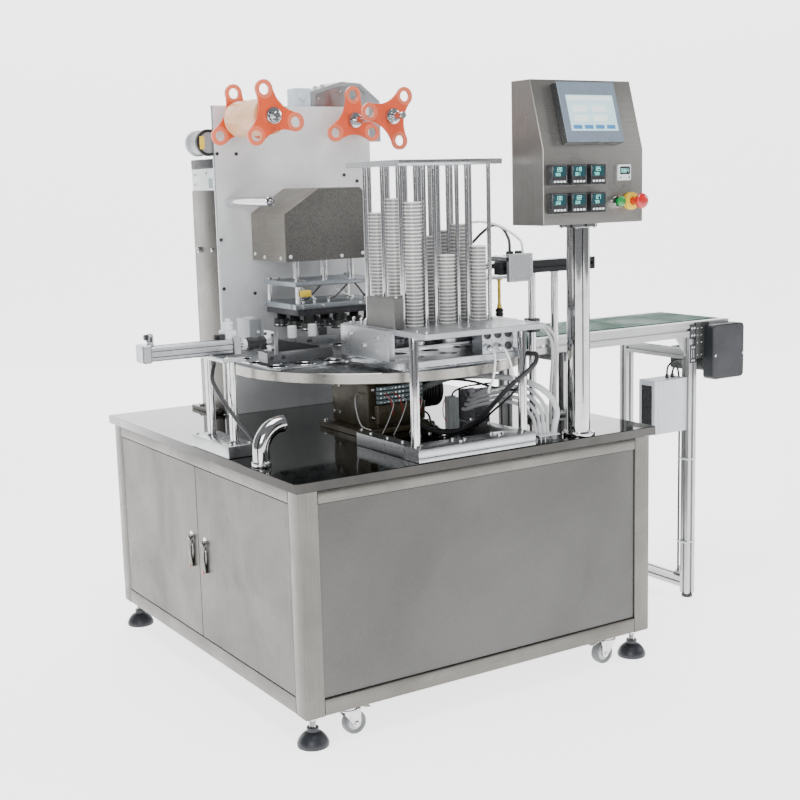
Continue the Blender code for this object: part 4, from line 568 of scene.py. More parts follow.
# Casters
# Zinc plated swivel casters: a top plate under the rail, a pressed fork, a grey wheel with a pale hub
# on its axle, and a brake pedal over the wheel.
zinc = finish("zinc", (0.60, 0.61, 0.60), metal=1, rough=0.24, marks=0.7, mark_size=40)
wheel_nylon = finish("wheel_nylon", (0.16, 0.165, 0.17), rough=0.45, marks=0.5, mark_size=25, spots=0.08)
hub_nylon = finish("hub_nylon", (0.46, 0.47, 0.48), rough=0.4, marks=0.4, mark_size=40)
for corner in ("front_left", "rear_left", "front_right", "rear_right"):
    wx0, wx1, wy0, wy1, wz0, wz1 = span("caster_wheel_" + corner)
    fork_top = span("caster_fork_" + corner)[5]
    axle_x, mid_y, axle_z = (wx0 + wx1) / 2, (wy0 + wy1) / 2, (wz0 + wz1) / 2
    wheel_r, half = (wx1 - wx0) / 2, (wy1 - wy0) / 2
    tail = 1 if "left" in corner else -1
    swivel_x = axle_x - tail * 16
    tyre = turned([(wheel_r * 0.70, -half + 1), (wheel_r * 0.93, -half), (wheel_r * 0.985, -half + 3),
                   (wheel_r, -4), (wheel_r, 4), (wheel_r * 0.985, half - 3), (wheel_r * 0.93, half),
                   (wheel_r * 0.70, half - 1)], axle_x, mid_y, axle_z, "Y", 40, loop=True)
    hub = turned([(5, -half), (10, -half), (11, -half + 3), (wheel_r * 0.70, -half + 4),
                  (wheel_r * 0.70, half - 4), (11, half - 3), (10, half), (5, half)],
                 axle_x, mid_y, axle_z, "Y", 32, loop=True)
    piece("wheel_tyre_" + corner, wheel_nylon, tyre,
          ["caster_wheel_" + corner], body="wheel_" + corner)
    piece("wheel_hub_" + corner, hub_nylon, hub, body="wheel_" + corner)
    metal = [turned([(25.5, 0), (25.5, 3.5), (22, 4.5), (22, 9.5)], swivel_x, mid_y,
                    fork_top - 9.7, "Z", 32)]
    crown = fork_top - 7.5
    for way in (-1, 1):
        cheek_y = mid_y + way * (half + 2)
        cheek = [(swivel_x - tail * 16, crown), (swivel_x - tail * 14, crown - 12),
                 (axle_x - tail * 10, axle_z - 2)]
        arc = np.radians(np.linspace(190, 350, 7))
        cheek += [(axle_x + tail * 10 * math.cos(a), axle_z + 10 * math.sin(a)) for a in arc]
        cheek += [(axle_x + tail * 11, axle_z + 12), (axle_x + tail * 12, crown)]
        metal.append(carry(cheek, "Y", cheek_y, cheek_y + way * 2.4, 0.4))
        metal.append(turned([(6.2, 0), (6.2, way * 3), (4.5, way * 4.2)], axle_x,
                            cheek_y + way * 2.4, axle_z, "Y", 6))
    web = sorted((swivel_x - tail * 16, axle_x + tail * 12))
    metal.append(block(web[0], web[1], mid_y - half - 4.4, mid_y + half + 4.4, crown - 2.6, crown, 0.8,
                       0.4))
    metal.append(turned([(4, -half - 3), (4, half + 3)], axle_x, mid_y, axle_z, "Y", 16))
    pedal = [(axle_x + tail * 6, wz1 + 3.5), (axle_x + tail * 20, wz1 + 4.5),
             (axle_x + tail * 34, wz1 - 0.5), (axle_x + tail * 45, wz1 - 1),
             (axle_x + tail * 45, wz1 + 1.2), (axle_x + tail * 34, wz1 + 1.8),
             (axle_x + tail * 20, wz1 + 6.8), (axle_x + tail * 6, wz1 + 6)]
    metal.append(carry(pedal, "Y", mid_y - 9, mid_y + 9, 0.5))
    piece("caster_metal_" + corner, zinc, metal, ["caster_fork_" + corner],
          body="fork_" + corner)

# Index drive
# A cast cam gearbox on a base plate turns the table in quarter turns. Its finned motor lies to the
# right with a terminal box, and a bolted flange carries the table.
TABLE_X = 520
TABLE_Y = 490
cast_paint = finish("cast_paint", (0.045, 0.047, 0.046), metal=0.2, rough=0.34, spots=0.2, spot_size=600,
                    marks=0.7)
olive_cast = finish("olive_cast", (0.075, 0.062, 0.038), metal=0.35, rough=0.36, spots=0.2, spot_size=600,
                    marks=0.8)
drive_z0, flange_top = span("index_drive")[4:]
GEARBOX_HALF = 85
GEARBOX_DEEP = 95
GEARBOX_TOP = 135
gearbox = [block(TABLE_X - GEARBOX_HALF, TABLE_X + GEARBOX_HALF, TABLE_Y - GEARBOX_DEEP,
                 TABLE_Y + GEARBOX_DEEP, 16, GEARBOX_TOP, 6, 3),
           block(TABLE_X - 120, TABLE_X + 120, TABLE_Y - 110, TABLE_Y + 110, drive_z0, 16.2, 4, 1)]
for x in (-55, 0, 55):
    gearbox.append(block(TABLE_X + x - 4, TABLE_X + x + 4, TABLE_Y - GEARBOX_DEEP - 4,
                         TABLE_Y + GEARBOX_DEEP + 4,
                         16, 30))
gearbox.append(turned([(73.5, 0), (75, 2), (75, 20), (70, 22), (70, flange_top - GEARBOX_TOP)],
                      TABLE_X, TABLE_Y, GEARBOX_TOP, "Z", 40))
piece("gearbox", olive_cast, gearbox, ["index_drive"])
MOTOR_X = 603
MOTOR_Y = 540
MOTOR_Z = 78
fins = [(40, 0), (49, 2), (52, 6), (52, 14), (46, 16)]
for k in range(12):
    start = 18 + 9 * k
    fins += [(46, start), (51.5, start + 0.6), (51.5, start + 3.2), (46, start + 3.8)]
fins += [(46, 130), (51, 132), (51, 142), (40, 150)]
motor = [turned(fins, MOTOR_X, MOTOR_Y, MOTOR_Z, "X", 36), block(647, 713, 578, 624, 52, 112, 4, 2),
         block(648.5, 711.5, 623.5, 628, 53.5, 110.5, 4, 1)]
piece("index_motor", cast_paint, motor)
screws = screw_grid((412, 628), (392, 588), 16.2, "Z", 6)
screws += screw_grid((655, 705), 628, (60, 104), "Y", 3, 0.8)
screws += screw_grid((450, 590), TABLE_Y - GEARBOX_DEEP, (45, 120), "Y", 5, -1)
screws += screw_grid(TABLE_X - GEARBOX_HALF, (540, 570), (45, 120), "X", 5, -1)
piece("index_drive_screws", zinc, screws)

# Table wiring
# Behind the magazine's posts stand a finned relay, a dark junction plate and a terminal strip on an
# olive block, with thin red and pale leads and a loom of black cable.
relay_grey = finish("relay_grey", (0.42, 0.45, 0.46), rough=0.35, marks=0.5, mark_size=30)
dark_plate = finish("dark_plate", (0.060, 0.060, 0.068), metal=0.4, rough=0.32, marks=0.7, mark_size=14)
strip_teal = finish("strip_teal", (0.20, 0.27, 0.29), rough=0.4, marks=0.5, mark_size=40)
relay = [block(617, 645, 286, 300, 0.5, 98)]
relay += [block(617 + 4.8 * k, 618.8 + 4.8 * k, 270, 286.5, 4, 96, 0.3, 0.3) for k in range(6)]
piece("relay", relay_grey, relay)
piece("junction_plate", dark_plate,
      [block(662, 712, 290, 300, 0.5, 112), block(713.5, 762, 292, 302, 0.5, 108),
       block(655, 770, 284, 312, 0.4, 4)])
strip = [block(452, 592, 366, 380, 85 + 12 * k, 94 + 12 * k, 1, 0.5) for k in range(4)]
piece("terminal_strip", strip_teal, strip)
piece("terminal_block", olive_cast,
      [block(448, 596, 362, 384, 32, 82, 2), block(470, 570, 380, 396, 60, 130, 2)])
pin_x = np.linspace(458, 586, 12)
piece("terminal_screws", chrome,
      [cap_screw(x, 366, 89.5 + 12 * k, "Y", 2.4, -1) for x in pin_x for k in range(4)])


def lead(points, radius, sides=8):
    """A thin wire or hose along a smooth line through points given from the worktop's corner."""
    doubled = [tuple(points[0])] + [tuple(spot) for spot in points] + [tuple(points[-1])]
    spots = np.array([at(*spot) for spot in doubled])
    t = np.linspace(0, 1, 7)[:-1, None]
    line = [cubic(spots[i - 1:i + 3], t) for i in range(1, len(spots) - 2)]
    return tube(np.concatenate(line + [spots[-1:]]), radius, sides)


red_wire = finish("red_wire", (0.52, 0.03, 0.03), rough=0.4)
white_wire = finish("white_wire", (0.72, 0.73, 0.72), rough=0.35)
piece("red_leads", red_wire,
      [lead([(x, 364, 112), (x + 4, 346, 100), (x + 12, 344, 70), (x + 20, 356, 52)], 1.3)
       for x in (470, 500, 560)]
      + [lead([(616.5, 296, 90), (608, 292, 78), (607, 292, 50), (616, 292, 30)], 1.4)])
piece("white_leads", white_wire,
      [lead([(x, 364, 100), (x + 2, 340, 88), (x - 20, 330, 50), (x - 30, 340, 20),
             (x - 34, 350, 1.2)], 1.2) for x in (480, 520, 570)]
      + [lead([(434, 440, 110), (412, 420, 104), (404, 404, 70), (410, 390, 30),
               (430, 372, 17.6)], 1.6)])
piece("table_loom", black_sheath,
      [lead([(605, 430, 118), (618, 400, 128), (640, 330, 138), (664, 240, 140),
             (690, 170, 128), (700, 90, 132), (702, 55, 150), (703.5, 62, 221.5)], 3.4),
       lead([(605, 420, 50), (616, 380, 40), (600, 330, 14), (612, 270, 10),
             (650, 200, 30), (668, 150, 72), (690, 98, 120), (701, 70, 160),
             (704.5, 70, 221.5)], 3),
       lead([(632, 286, 98), (634, 276, 112), (655, 250, 126), (690, 180, 140)], 2.4)])

# Rotary table
# A turned aluminium disc with a blue-grey top and a champagne rim. Four mould plates are bolted on,
# each with nine polished rings that hold the cups, inside a bright raised border.
RIM_R = 402.6
CUP_PITCH_X = 98
CUP_PITCH_Y = 82
CUP_ROW_R = 354
disc_z0, hub_top = span("rotary_table")[4:]
disc_top = disc_z0 + 26
mould_top = disc_top + 5
table_blue = finish("table_blue", (0.170, 0.180, 0.190), metal=0.75, rough=0.24, marks=0.9, mark_size=7,
                    lines=(420, 30, 0), place="Object", line_depth=0.00002)


def tone_and_shade_bands(look, repeat, start, edge, scale):
    """Scales a colour where the height above start, counted in repeats, is past an edge in each repeat."""
    tree = look.node_tree
    base = tree.nodes["Principled BSDF"].inputs["Base Color"]
    tint = base.links[0].from_socket
    where = shader(tree, "ShaderNodeTexCoord").outputs["Object"]
    height = shader(tree, "ShaderNodeSeparateXYZ", where).outputs["Z"]
    above = shader(tree, "ShaderNodeMath", height, float(at(0, 0, start)[2]),
                   settings={"operation": "SUBTRACT"}).outputs[0]
    within = shader(tree, "ShaderNodeMath", above, MM * repeat,
                    settings={"operation": "FLOORED_MODULO"}).outputs[0]
    past = shader(tree, "ShaderNodeMath", within, MM * edge,
                  settings={"operation": "GREATER_THAN"}).outputs[0]
    factor = shader(tree, "ShaderNodeMapRange", past, 0.0, 1.0, 1.0, scale).outputs[0]
    banded_tint = shader(tree, "ShaderNodeVectorMath", tint, settings={"operation": "SCALE"}, Scale=factor)
    tree.links.new(banded_tint.outputs[0], base)


tone_and_shade_bands(table_blue, 1000, disc_top - 500, 501, 2.1)
bpy.data.objects["rotary_table"].data.materials[0] = table_blue
champagne = finish("champagne_rim", (0.33, 0.32, 0.295), metal=1, rough=0.22, lines=(6, 2600, 0), marks=0.5)
satin_aluminium = finish("satin_aluminium", (0.44, 0.45, 0.46), metal=1, rough=0.30, lines=(14, 1500, 0),
                         marks=0.4, mark_size=14)
piece("table_rim", champagne,
      turned([(RIM_R - 4, disc_z0 - 0.4), (RIM_R - 1, disc_z0 - 0.4), (RIM_R, disc_z0 + 1),
              (RIM_R, disc_top - 0.8), (RIM_R - 1, disc_top + 0.4), (RIM_R - 4, disc_top + 0.4)],
             TABLE_X, TABLE_Y, 0, "Z", 160, loop=True), body="table")
piece("table_hub", satin_aluminium,
      [turned([(61, disc_top - 1), (61, hub_top - 1.5), (59.5, hub_top + 0.4)],
              TABLE_X, TABLE_Y, 0, "Z", 48)], body="table")


def border(outline, axis, start, end, width):
    """A flat frame that follows an outline: its outer edge, and the same edge moved in by the width."""
    outline = np.asarray(outline, float)
    middle = outline.mean(axis=0)
    reach = np.abs(outline - middle).max(axis=0)
    inner = middle + (outline - middle) * (1 - width / reach)
    ease = 0.25 * min(width, abs(end - start))
    eased = middle + (outline - middle) * (1 - ease / reach)
    eased_in = middle + (outline - middle) * (1 - (width - ease) / reach)
    lip = end - math.copysign(ease, end - start)
    rings = np.stack([outline, outline, eased, eased_in, inner, inner])
    return skin(CORNER + set_along(rings, np.array([start, lip, end, end, lip, start]), axis), loop=True)


borders, rings_up, mould_screws = [], [], []
for k in range(4):
    turn = math.radians(90 * k - 90)
    out = np.array([math.cos(turn), math.sin(turn)])
    along = np.array([-math.sin(turn), math.cos(turn)])
    centre = np.array([TABLE_X, TABLE_Y])
    edge = square(158, 390.5, -148, 148, 30, 6)
    far = np.hypot(edge[:, 0], edge[:, 1])
    edge *= np.minimum(1, 396.5 / far)[:, None]
    borders.append(border(centre + edge[:, :1] * out + edge[:, 1:] * along, "Z", disc_top - 0.5,
                          mould_top + 1.4, 7.5))
    for row in range(3):
        for column in (-1, 0, 1):
            spot = centre + out * (CUP_ROW_R - CUP_PITCH_Y * row) + along * CUP_PITCH_X * column
            rings_up.append(turned([(22.8, -12), (22.8, 1.2), (23.6, 2), (28.2, 2),
                                    (29, 1.2), (29, -0.5), (25.2, -0.5), (25.2, -12)],
                                   spot[0], spot[1], mould_top, "Z", 28, loop=True))
    for r, s in ((180, -52), (180, 52), (315, -49), (315, 49), (232, -130), (232, 130)):
        spot = centre + out * r + along * s
        mould_screws.append(cap_screw(spot[0], spot[1], mould_top, "Z", 4.5, 0.5))
for k in range(8):
    turn = math.radians(45 * k + 22.5)
    mould_screws.append(cap_screw(TABLE_X + 48 * math.cos(turn), TABLE_Y + 48 * math.sin(turn), hub_top,
                                  "Z", 5.5, 0.6))
polished_steel = finish("polished_steel", (0.54, 0.55, 0.56), metal=1, rough=0.13, marks=0.5, mark_size=30)
piece("mould_borders", polished_steel, borders, body="table")
piece("mould_rings", polished_steel, rings_up, body="table")
piece("mould_screws", zinc, mould_screws, body="table")

# Magazine stand
# A grooved foot bar on the worktop's front edge, two side bars behind it and two polished posts.
base_x0, base_x1, base_y0, base_y1, base_z0, posts_top = span("magazine_base")
BAR_TOP = 34
BAR_BACK = 72
bars = [block(base_x0, base_x1, base_y0, BAR_BACK, base_z0, 12.8, 1, 0.8),
        block(base_x0 + 1, base_x1 - 1, base_y0 + 1, BAR_BACK - 1, 12, 16, 1, 0),
        block(base_x0, base_x1, base_y0, BAR_BACK, 15.2, BAR_TOP, 1, 0.8)]
for x in (base_x0 + 3, base_x1 - 40):
    bars.append(block(x, x + 37, BAR_BACK - 2, base_y1, base_z0 + 0.2, BAR_TOP - 0.3, 1, 0.8))
piece("magazine_feet", satin_aluminium, bars, ["magazine_base"])
posts = []
for x in (base_x0 + 14, base_x1 - 15):
    posts.append(turned([(13.5, 0), (13.5, 4), (11.5, 5), (11.5, posts_top - BAR_TOP - 3),
                         (10.8, posts_top - BAR_TOP)], x, 38, BAR_TOP - 0.2, "Z", 28, grain="along"))
piece("magazine_posts", chrome, posts)
foot_screws = [cap_screw(x, y, BAR_TOP, "Z", 5.5, 1.1) for x, y in (
    (470, 20), (494, 36), (470, 54), (588, 20), (612, 36), (588, 54))]
foot_screws += screw_grid((359.5, 673.5), (110, 180, 260), BAR_TOP - 0.3, "Z", 4.5)
piece("magazine_foot_screws", zinc, foot_screws)

# Magazine deck and separator
# A thick aluminium deck with nine drop holes, side plates down to the separator plate, a drive
# housing on its left and an air manifold with push-in fittings on its right.
deck_x0, _, _, _, deck_z0, housing_top = span("magazine_deck")
DECK_TOP = 314
deck_satin = finish("deck_satin", (0.43, 0.445, 0.465), metal=0.95, rough=0.33, lines=(10, 1300, 900),
                    place="Object", marks=0.5, mark_size=9)
for node in ("magazine_deck", "separator_box"):
    bpy.data.objects[node].data.materials[0] = deck_satin
housing_grey = finish("housing_grey", (0.13, 0.13, 0.125), metal=0.5, rough=0.40, spots=0.25, spot_size=500)
piece("separator_housing", housing_grey,
      block(deck_x0 + 0.4, deck_x0 + 28.6, 99.4, 226.6, DECK_TOP + 0.2, housing_top + 0.6, 2))
sep_x0, sep_x1 = span("separator_box")[:2]
piece("separator_cheeks", satin_aluminium,
      [block(sep_x0 - 1.2, sep_x0 + 0.5, 102, 328, 250, 311.5, 1, 0.4, "X"),
       block(sep_x1 - 0.5, sep_x1 + 1.2, 102, 328, 250, 311.5, 1, 0.4, "X")])
piece("separator_edge", polished_steel,
      [block(sep_x0 - 1.5, sep_x0 + 0.5, 52, 328, 222.2, 237.8, 1, 0.4, "X")])
deck_screws = [cap_screw(sep_x0 - 1.2, y, z, "X", 5.5, -1) for y, z in ((150, 292), (280, 292), (215, 268))]
deck_screws += screw_grid((352, 680), (-20, 20, 330), DECK_TOP, "Z", 4.5, 0.8)
deck_screws += screw_grid(deck_x0 + 14.5, (112, 214), housing_top + 0.6, "Z", 4)
deck_screws += [turned([(3.2, 0), (3.2, 12), (4.2, 12), (4.2, 16), (2.2, 18)],
                       deck_x0 + 6, y, DECK_TOP + 0.2, "Z", 12) for y in (240, 262, 300)]
piece("magazine_screws", zinc, deck_screws)
MANIFOLD_X = 566
PORT_ROWS = (16, 46)
fittings, nozzles = [], []
for dx in (16, 48, 80):
    for dz in PORT_ROWS:
        port = (MANIFOLD_X + dx, 54, 238 + dz)
        if dz == PORT_ROWS[0] and dx < 60:
            nozzles.append(turned([(8.5, 0), (8.5, -10), (7.5, -12), (4.5, -13)], *port, "Y", 18))
        else:
            fittings.append(turned([(9.8, 0), (9.8, -3), (8.6, -4), (6.2, -4), (5.8, -1.5)],
                                   *port, "Y", 24))
piece("manifold_ports", black_sheath, fittings)
piece("manifold_nozzles", chrome, nozzles)
fitting_screws = [cap_screw(MANIFOLD_X + dx, 54, 238 + dz, "Y", 2.8, -1)
                  for dx in (3, 32, 64, 93) for dz in (5, 31, 57)]
piece("manifold_screws", zinc, fitting_screws)
piece("manifold_hoses", white_wire,
      [lead([(582, 41, 254), (582, 30, 250), (584, 26, 225), (588, 40, 180),
             (594, 70, 140), (640, 110, 134), (690, 130, 132)], 3),
       lead([(614, 41, 254), (616, 28, 249), (626, 24, 225), (648, 36, 180),
             (668, 60, 150), (688, 100, 138)], 3)])

# Cup stacks
# Nine stacks of thin white plastic cups, nested so that only their rolled rims show about every nine
# millimetres. The lowest cup of each stack rests on the separator plate.
CUP_R = 21.5
RIM_PITCH = 8.8
cup_plastic = finish("cup_plastic", (0.80, 0.80, 0.78), rough=0.28, marks=0.3, mark_size=60,
                     Subsurface_Weight=0.25,
                     Subsurface_Radius=(0.01, 0.01, 0.01), Coat_Weight=0.2)
# Painted shade: the cup colour is scaled to 0.36 in every gap between two rims, where shade falls between
# the nested cups.
tone_and_shade_bands(cup_plastic, RIM_PITCH, deck_z0 + 6, 3, 0.36)
STACK_TOPS = ((622, 488, 512), (632, 532, 562), (596, 560, 540))
stack_spots = [(TABLE_X + CUP_PITCH_X * column, TABLE_Y - CUP_ROW_R + CUP_PITCH_Y * row,
                STACK_TOPS[row][column + 1])
               for row in range(3) for column in (-1, 0, 1)]
stacks = []
for x, y, tall in stack_spots:
    levels = np.arange(deck_z0 + 6, tall - 4, RIM_PITCH)
    outline = [(CUP_R * 0.78, 268), (CUP_R * 0.84, levels[0] - 2)]
    for level_z in levels:
        outline += [(CUP_R * 0.85, level_z), (CUP_R * 0.99, level_z + 0.3), (CUP_R, level_z + 1.3),
                    (CUP_R * 0.985, level_z + 2.6), (CUP_R * 0.875, level_z + 3)]
    outline += [(CUP_R * 0.84, levels[-1] + 2.2), (CUP_R * 0.76, levels[-1] - 6)]
    stacks.append(turned(outline, x, y, 0, "Z", 24))
load_x0, load_x1, load_y0, load_y1, load_z0 = span("cup_load")[:5]
piece("cup_stacks", cup_plastic, stacks, ["cup_load"])
piece("separator_plate", satin_aluminium,
      [block(load_x0, load_x1, load_y0, load_y1, load_z0, load_z0 + 6)]
      + [turned([(24.5, 0), (24.5, 10), (23.5, 11)], x, y, load_z0 + 5.5, "Z", 24) for x, y,
         tall in stack_spots])

# Guide rods
# Three bright rods stand round each stack, screwed into the deck and held at the top by a cap plate.
rods_x0, rods_x1, rods_y0, rods_y1, rods_z0, cap_top = span("magazine_rods")
GUIDE_R = 5.5
GUIDE_OUT = 34
CAP_THICK = 14
rods, rod_ends = [], []
for x, y, tall in stack_spots:
    for dx, dy in ((-GUIDE_OUT, 0), (GUIDE_OUT, 0), (0, GUIDE_OUT)):
        rods.append(turned([(7.2, 0), (7.2, 4), (GUIDE_R, 4.6),
                            (GUIDE_R, cap_top - CAP_THICK - rods_z0 + 1)],
                           x + dx, y + dy, rods_z0, "Z", 18, grain="along"))
        rod_ends.append(cap_screw(x + dx, y + dy, cap_top - 1.5, "Z", 4.2, 0.35))
piece("guide_rods", chrome, rods, ["magazine_rods"])
piece("rod_screws", zinc, rod_ends)
piece("cap_plate", satin_aluminium,
      [block(rods_x0, rods_x1, rods_y0, rods_y1, cap_top - CAP_THICK, cap_top, 3, 0.8)])

# Tower column
# A closed column of brushed steel on a bolted base flange stands on the worktop's rear edge. A white
# valve box with a black lid is screwed to its top.
COLUMN_LEFT = 271
COLUMN_RIGHT = 790
COLUMN_FRONT = 941.4
COLUMN_BACK = 1100
COLUMN_TOP = 655
FLANGE_TOP = 12
LID_BOTTOM = 718
flange_x0, flange_x1, _, flange_y1, column_z0, lid_top = span("tower_column")
valve_white = finish("valve_white", (0.74, 0.76, 0.77), rough=0.34, marks=0.4, mark_size=20)
moulded_black = finish("moulded_black", (0.016, 0.017, 0.019), rough=0.38, marks=0.5, mark_size=25,
                       spots=0.12)
piece("column_body", brushed_steel,
      [block(COLUMN_LEFT, COLUMN_RIGHT, COLUMN_FRONT, COLUMN_BACK, FLANGE_TOP - 0.5, COLUMN_TOP, 3),
       block(flange_x0, flange_x1, COLUMN_FRONT + FLANGE_TOP, flange_y1, column_z0, FLANGE_TOP, 2)],
      ["tower_column"])
piece("valve_box", valve_white,
      block(COLUMN_LEFT + 1, 400, 945.4, 1096, COLUMN_TOP + 0.2, LID_BOTTOM, 3, 1, "Z"))
piece("valve_lid", moulded_black,
      block(COLUMN_LEFT, 402, 943.4, 1098, LID_BOTTOM, lid_top, 4, 2, "Z"))
piece("valve_connector", strip_teal,
      block(COLUMN_LEFT + 0.2, COLUMN_LEFT + 1.4, 952, 978, 662, 690, 3, 0.3, "X"))
column_screws = [cap_screw(COLUMN_LEFT, y, z, "X", radius, -1) for y, z, radius in (
    (1062, 482, 9), (970, 484, 6), (1070, 700, 4), (1070, 672, 4), (990, 704, 4))]
column_screws += [turned([(8.5, 0), (8.5, 5.5), (7, 6.5)], x, 1112, FLANGE_TOP - 0.2, "Z", 6)
                  for x in (300, 440, 620, 760)]
column_screws += [turned([(8.5, 0), (8.5, 5.5), (7, 6.5)], x, y, FLANGE_TOP - 0.2, "Z", 6)
                  for x in (258.5, 802) for y in (975, 1075)]
piece("column_screws", zinc, column_screws)

# Tower plate
# A thick plate in light blue-grey paint, with bare sawn edges, carries the reels, the press and the
# film guide. A brake wheel and the rewind drive's cover are fixed to its back.
PLATE_LEFT = 270
PLATE_FACE = 925
PLATE_BACK = 941
PLATE_TOP = 893
plate_blue = finish("plate_paint", (0.72, 0.735, 0.75), metal=0.15, rough=0.36, spots=0.10, spot_size=900,
                    marks=0.5,
                    mark_size=5)
cover_grey = finish("cover_grey", (0.30, 0.315, 0.33), metal=0.3, rough=0.35, spots=0.12, marks=0.5)
actuator_blue = finish("actuator_blue", (0.62, 0.70, 0.78), rough=0.3, marks=0.5, mark_size=20)
tag_yellow = finish("tag_yellow", (0.75, 0.55, 0.05), rough=0.4, marks=0.4, mark_size=40)
piece("tower_sheet", plate_blue,
      carry(square(PLATE_LEFT + 0.6, COLUMN_RIGHT - 0.6, 0.4, PLATE_TOP - 0.6, 3), "Y",
            PLATE_FACE, PLATE_BACK - 1, 0.6), ["tower_plate"])
piece("tower_edge", satin_aluminium,
      [block(PLATE_LEFT - 0.1, PLATE_LEFT + 2, PLATE_FACE + 0.7, PLATE_BACK - 1, 1, PLATE_TOP - 1),
       block(PLATE_LEFT, COLUMN_RIGHT, PLATE_FACE + 0.7, PLATE_BACK - 1, PLATE_TOP - 1.5, PLATE_TOP)])
PLATE_BOLTS = ((277, 758), (337, 757), (277, 514), (279, 373), (378, 354), (694, 691), (739, 672),
               (770, 300), (770, 60), (279, 120), (600, 240))
piece("tower_bolts", dark_plate,
      [cap_screw(x, PLATE_FACE, z, "Y", 5.2, -0.8) for x, z in PLATE_BOLTS])
WHEEL_X = 262
WHEEL_Z = 790
piece("brake_wheel", cover_grey,
      turned([(29, 1.2), (29.5, 4), (34, 6), (34, 68), (37, 70), (37, 84.5)],
             WHEEL_X, PLATE_BACK, WHEEL_Z, "Y", 40))
piece("brake_wheel_rim", moulded_black,
      turned([(30, 0.8), (37.2, 0.8), (38, 2), (38, 13), (36.5, 15), (30, 15)],
             WHEEL_X, PLATE_BACK, WHEEL_Z, "Y", 48, loop=True))
piece("brake_tag", tag_yellow,
      block(233.5, 248, PLATE_BACK + 0.2, PLATE_BACK + 1.4, 772, 808, 1, 0.3, "Y"))
cover = [(600, 790), (840, 790), (840, 912), (772, 964), (705, 968), (600, 938)]
piece("rewind_cover", cover_grey, carry(cover, "Y", PLATE_BACK, 1040, 2))
piece("rewind_cover_plate", satin_aluminium,
      [carry([(612, 930), (704, 956), (768, 953), (830, 907), (830, 880), (612, 896)], "Y",
             PLATE_BACK - 1.2, PLATE_BACK + 1, 0.4)])
piece("web_actuator", actuator_blue,
      [block(541, 598.5, PLATE_BACK, 984, 852, 947, 4, 2, "Y"),
       turned([(11, 0), (11, -3), (9, -5)], 570, PLATE_BACK + 0.2, 921, "Y", 24)])
piece("cover_tubes", zinc,
      [turned([(4.5, 0), (4.5, 14), (6, 14), (6, 19), (4.5, 20)], x, PLATE_BACK + 30,
              z, "Z", 16) for x, z in ((630, 936), (655, 941))]
      + [cap_screw(x, PLATE_BACK - 1, z, "Y", 3.5, -1) for x, z in (
          (625, 916), (700, 938), (765, 936), (818, 898))])

# Film guide frame
# Two flat bars reach forward from the plate on both sides of the press and a cross bar joins them;
# the film runs on them below the heads. A black clamp block stands on the left bar.
guide_bars = [block(x, x + 13, 638, PLATE_FACE, 224, 248, 1, 0.6) for x in (300, 707)]
guide_bars.append(block(300, 720, 637.5, 650, 224.4, 248.4, 1, 0.6))
piece("film_guide", satin_aluminium, guide_bars)
guide_posts = [turned([(11.5, 0), (12.5, 1), (12.5, 32), (11.5, 33)], x, 643.8, 248.2, "Z", 28)
               for x in (348, 412)]
piece("film_guide_posts", valve_white, guide_posts)
# Painted shade: two thin dark strips on the cross bar's front stand for the shade in its slots; the dark
# block stands on the bar's top.
piece("film_guide_slots", dark_plate,
      [block(x, x + 16, 637, 637.7, 232.5, 240, 0.3, 0.2) for x in (325, 390)]
      + [block(432, 456, 639, 648.6, 248.2, 270, 1, 0.6)])
piece("film_clamp", cover_grey, [block(262, 301, 735, 815, 228, 300, 4, 2, "Z")])
piece("film_clamp_knob", valve_white,
      [turned([(14, 0), (15, 1.5), (15, 10), (13, 12)], 281, 772, 289, "Z", 28),
       cap_screw(289.5, 735, 262, "Y", 4, -1)])

# Film reels
# Each shaft turns in the plate and carries two flanges of orange-red plastic with three round lobes.
# Every lobe has a hole with a raised rim, and a chrome hub clamps the flange to the shaft.
REEL_Z = 851
LOBE = 73
LOBE_R = 26
LOBE_HOLE_R = 14.5
VALLEY = 43
FLANGE_THICK = 9
FLANGE_GAP = 210
reel_orange = finish("reel_orange", (0.70, 0.080, 0.018), rough=0.36, marks=0.6, mark_size=22,
                     Coat_Weight=0.35)
reel_rim = finish("reel_rim", (0.74, 0.16, 0.075), rough=0.34, marks=0.4, mark_size=22, Coat_Weight=0.35)


def lobed_web(x, z, first, thin):
    """The outline of a three-lobed flange without its lobes' rims.

    Between lobes it is the parabola B(t) that passes the valley; at a lobe it follows the inner
    side of the hole, on a circle of the mean radius of hole and rim.
    """
    outline = []
    mean_r = (LOBE_HOLE_R + LOBE_R) / 2
    for k in range(3):
        mid = math.radians(first + 120 * k)
        centre = np.array([x + LOBE * math.cos(mid), z + LOBE * math.sin(mid)])
        turn = mid + np.radians(np.linspace(-100, -260, 13))
        outline.append(centre + mean_r * np.stack([np.cos(turn), np.sin(turn)], axis=1))
        start = centre + (LOBE_R - thin) * np.array([math.cos(mid + math.radians(98)),
                                                     math.sin(mid + math.radians(98))])
        following = mid + math.radians(120)
        end = np.array([x + LOBE * math.cos(following), z + LOBE * math.sin(following)])
        end = end + (LOBE_R - thin) * np.array([math.cos(following - math.radians(98)),
                                                math.sin(following - math.radians(98))])
        valley = mid + math.radians(60)
        dip = np.array([x, z]) + (VALLEY - thin) * np.array([math.cos(valley), math.sin(valley)])
        bend = 2 * dip - (start + end) / 2
        t = np.linspace(0, 1, 11)[:, None]
        outline.append((1 - t) ** 2 * start + 2 * t * (1 - t) * bend + t ** 2 * end)
    return np.concatenate(outline)


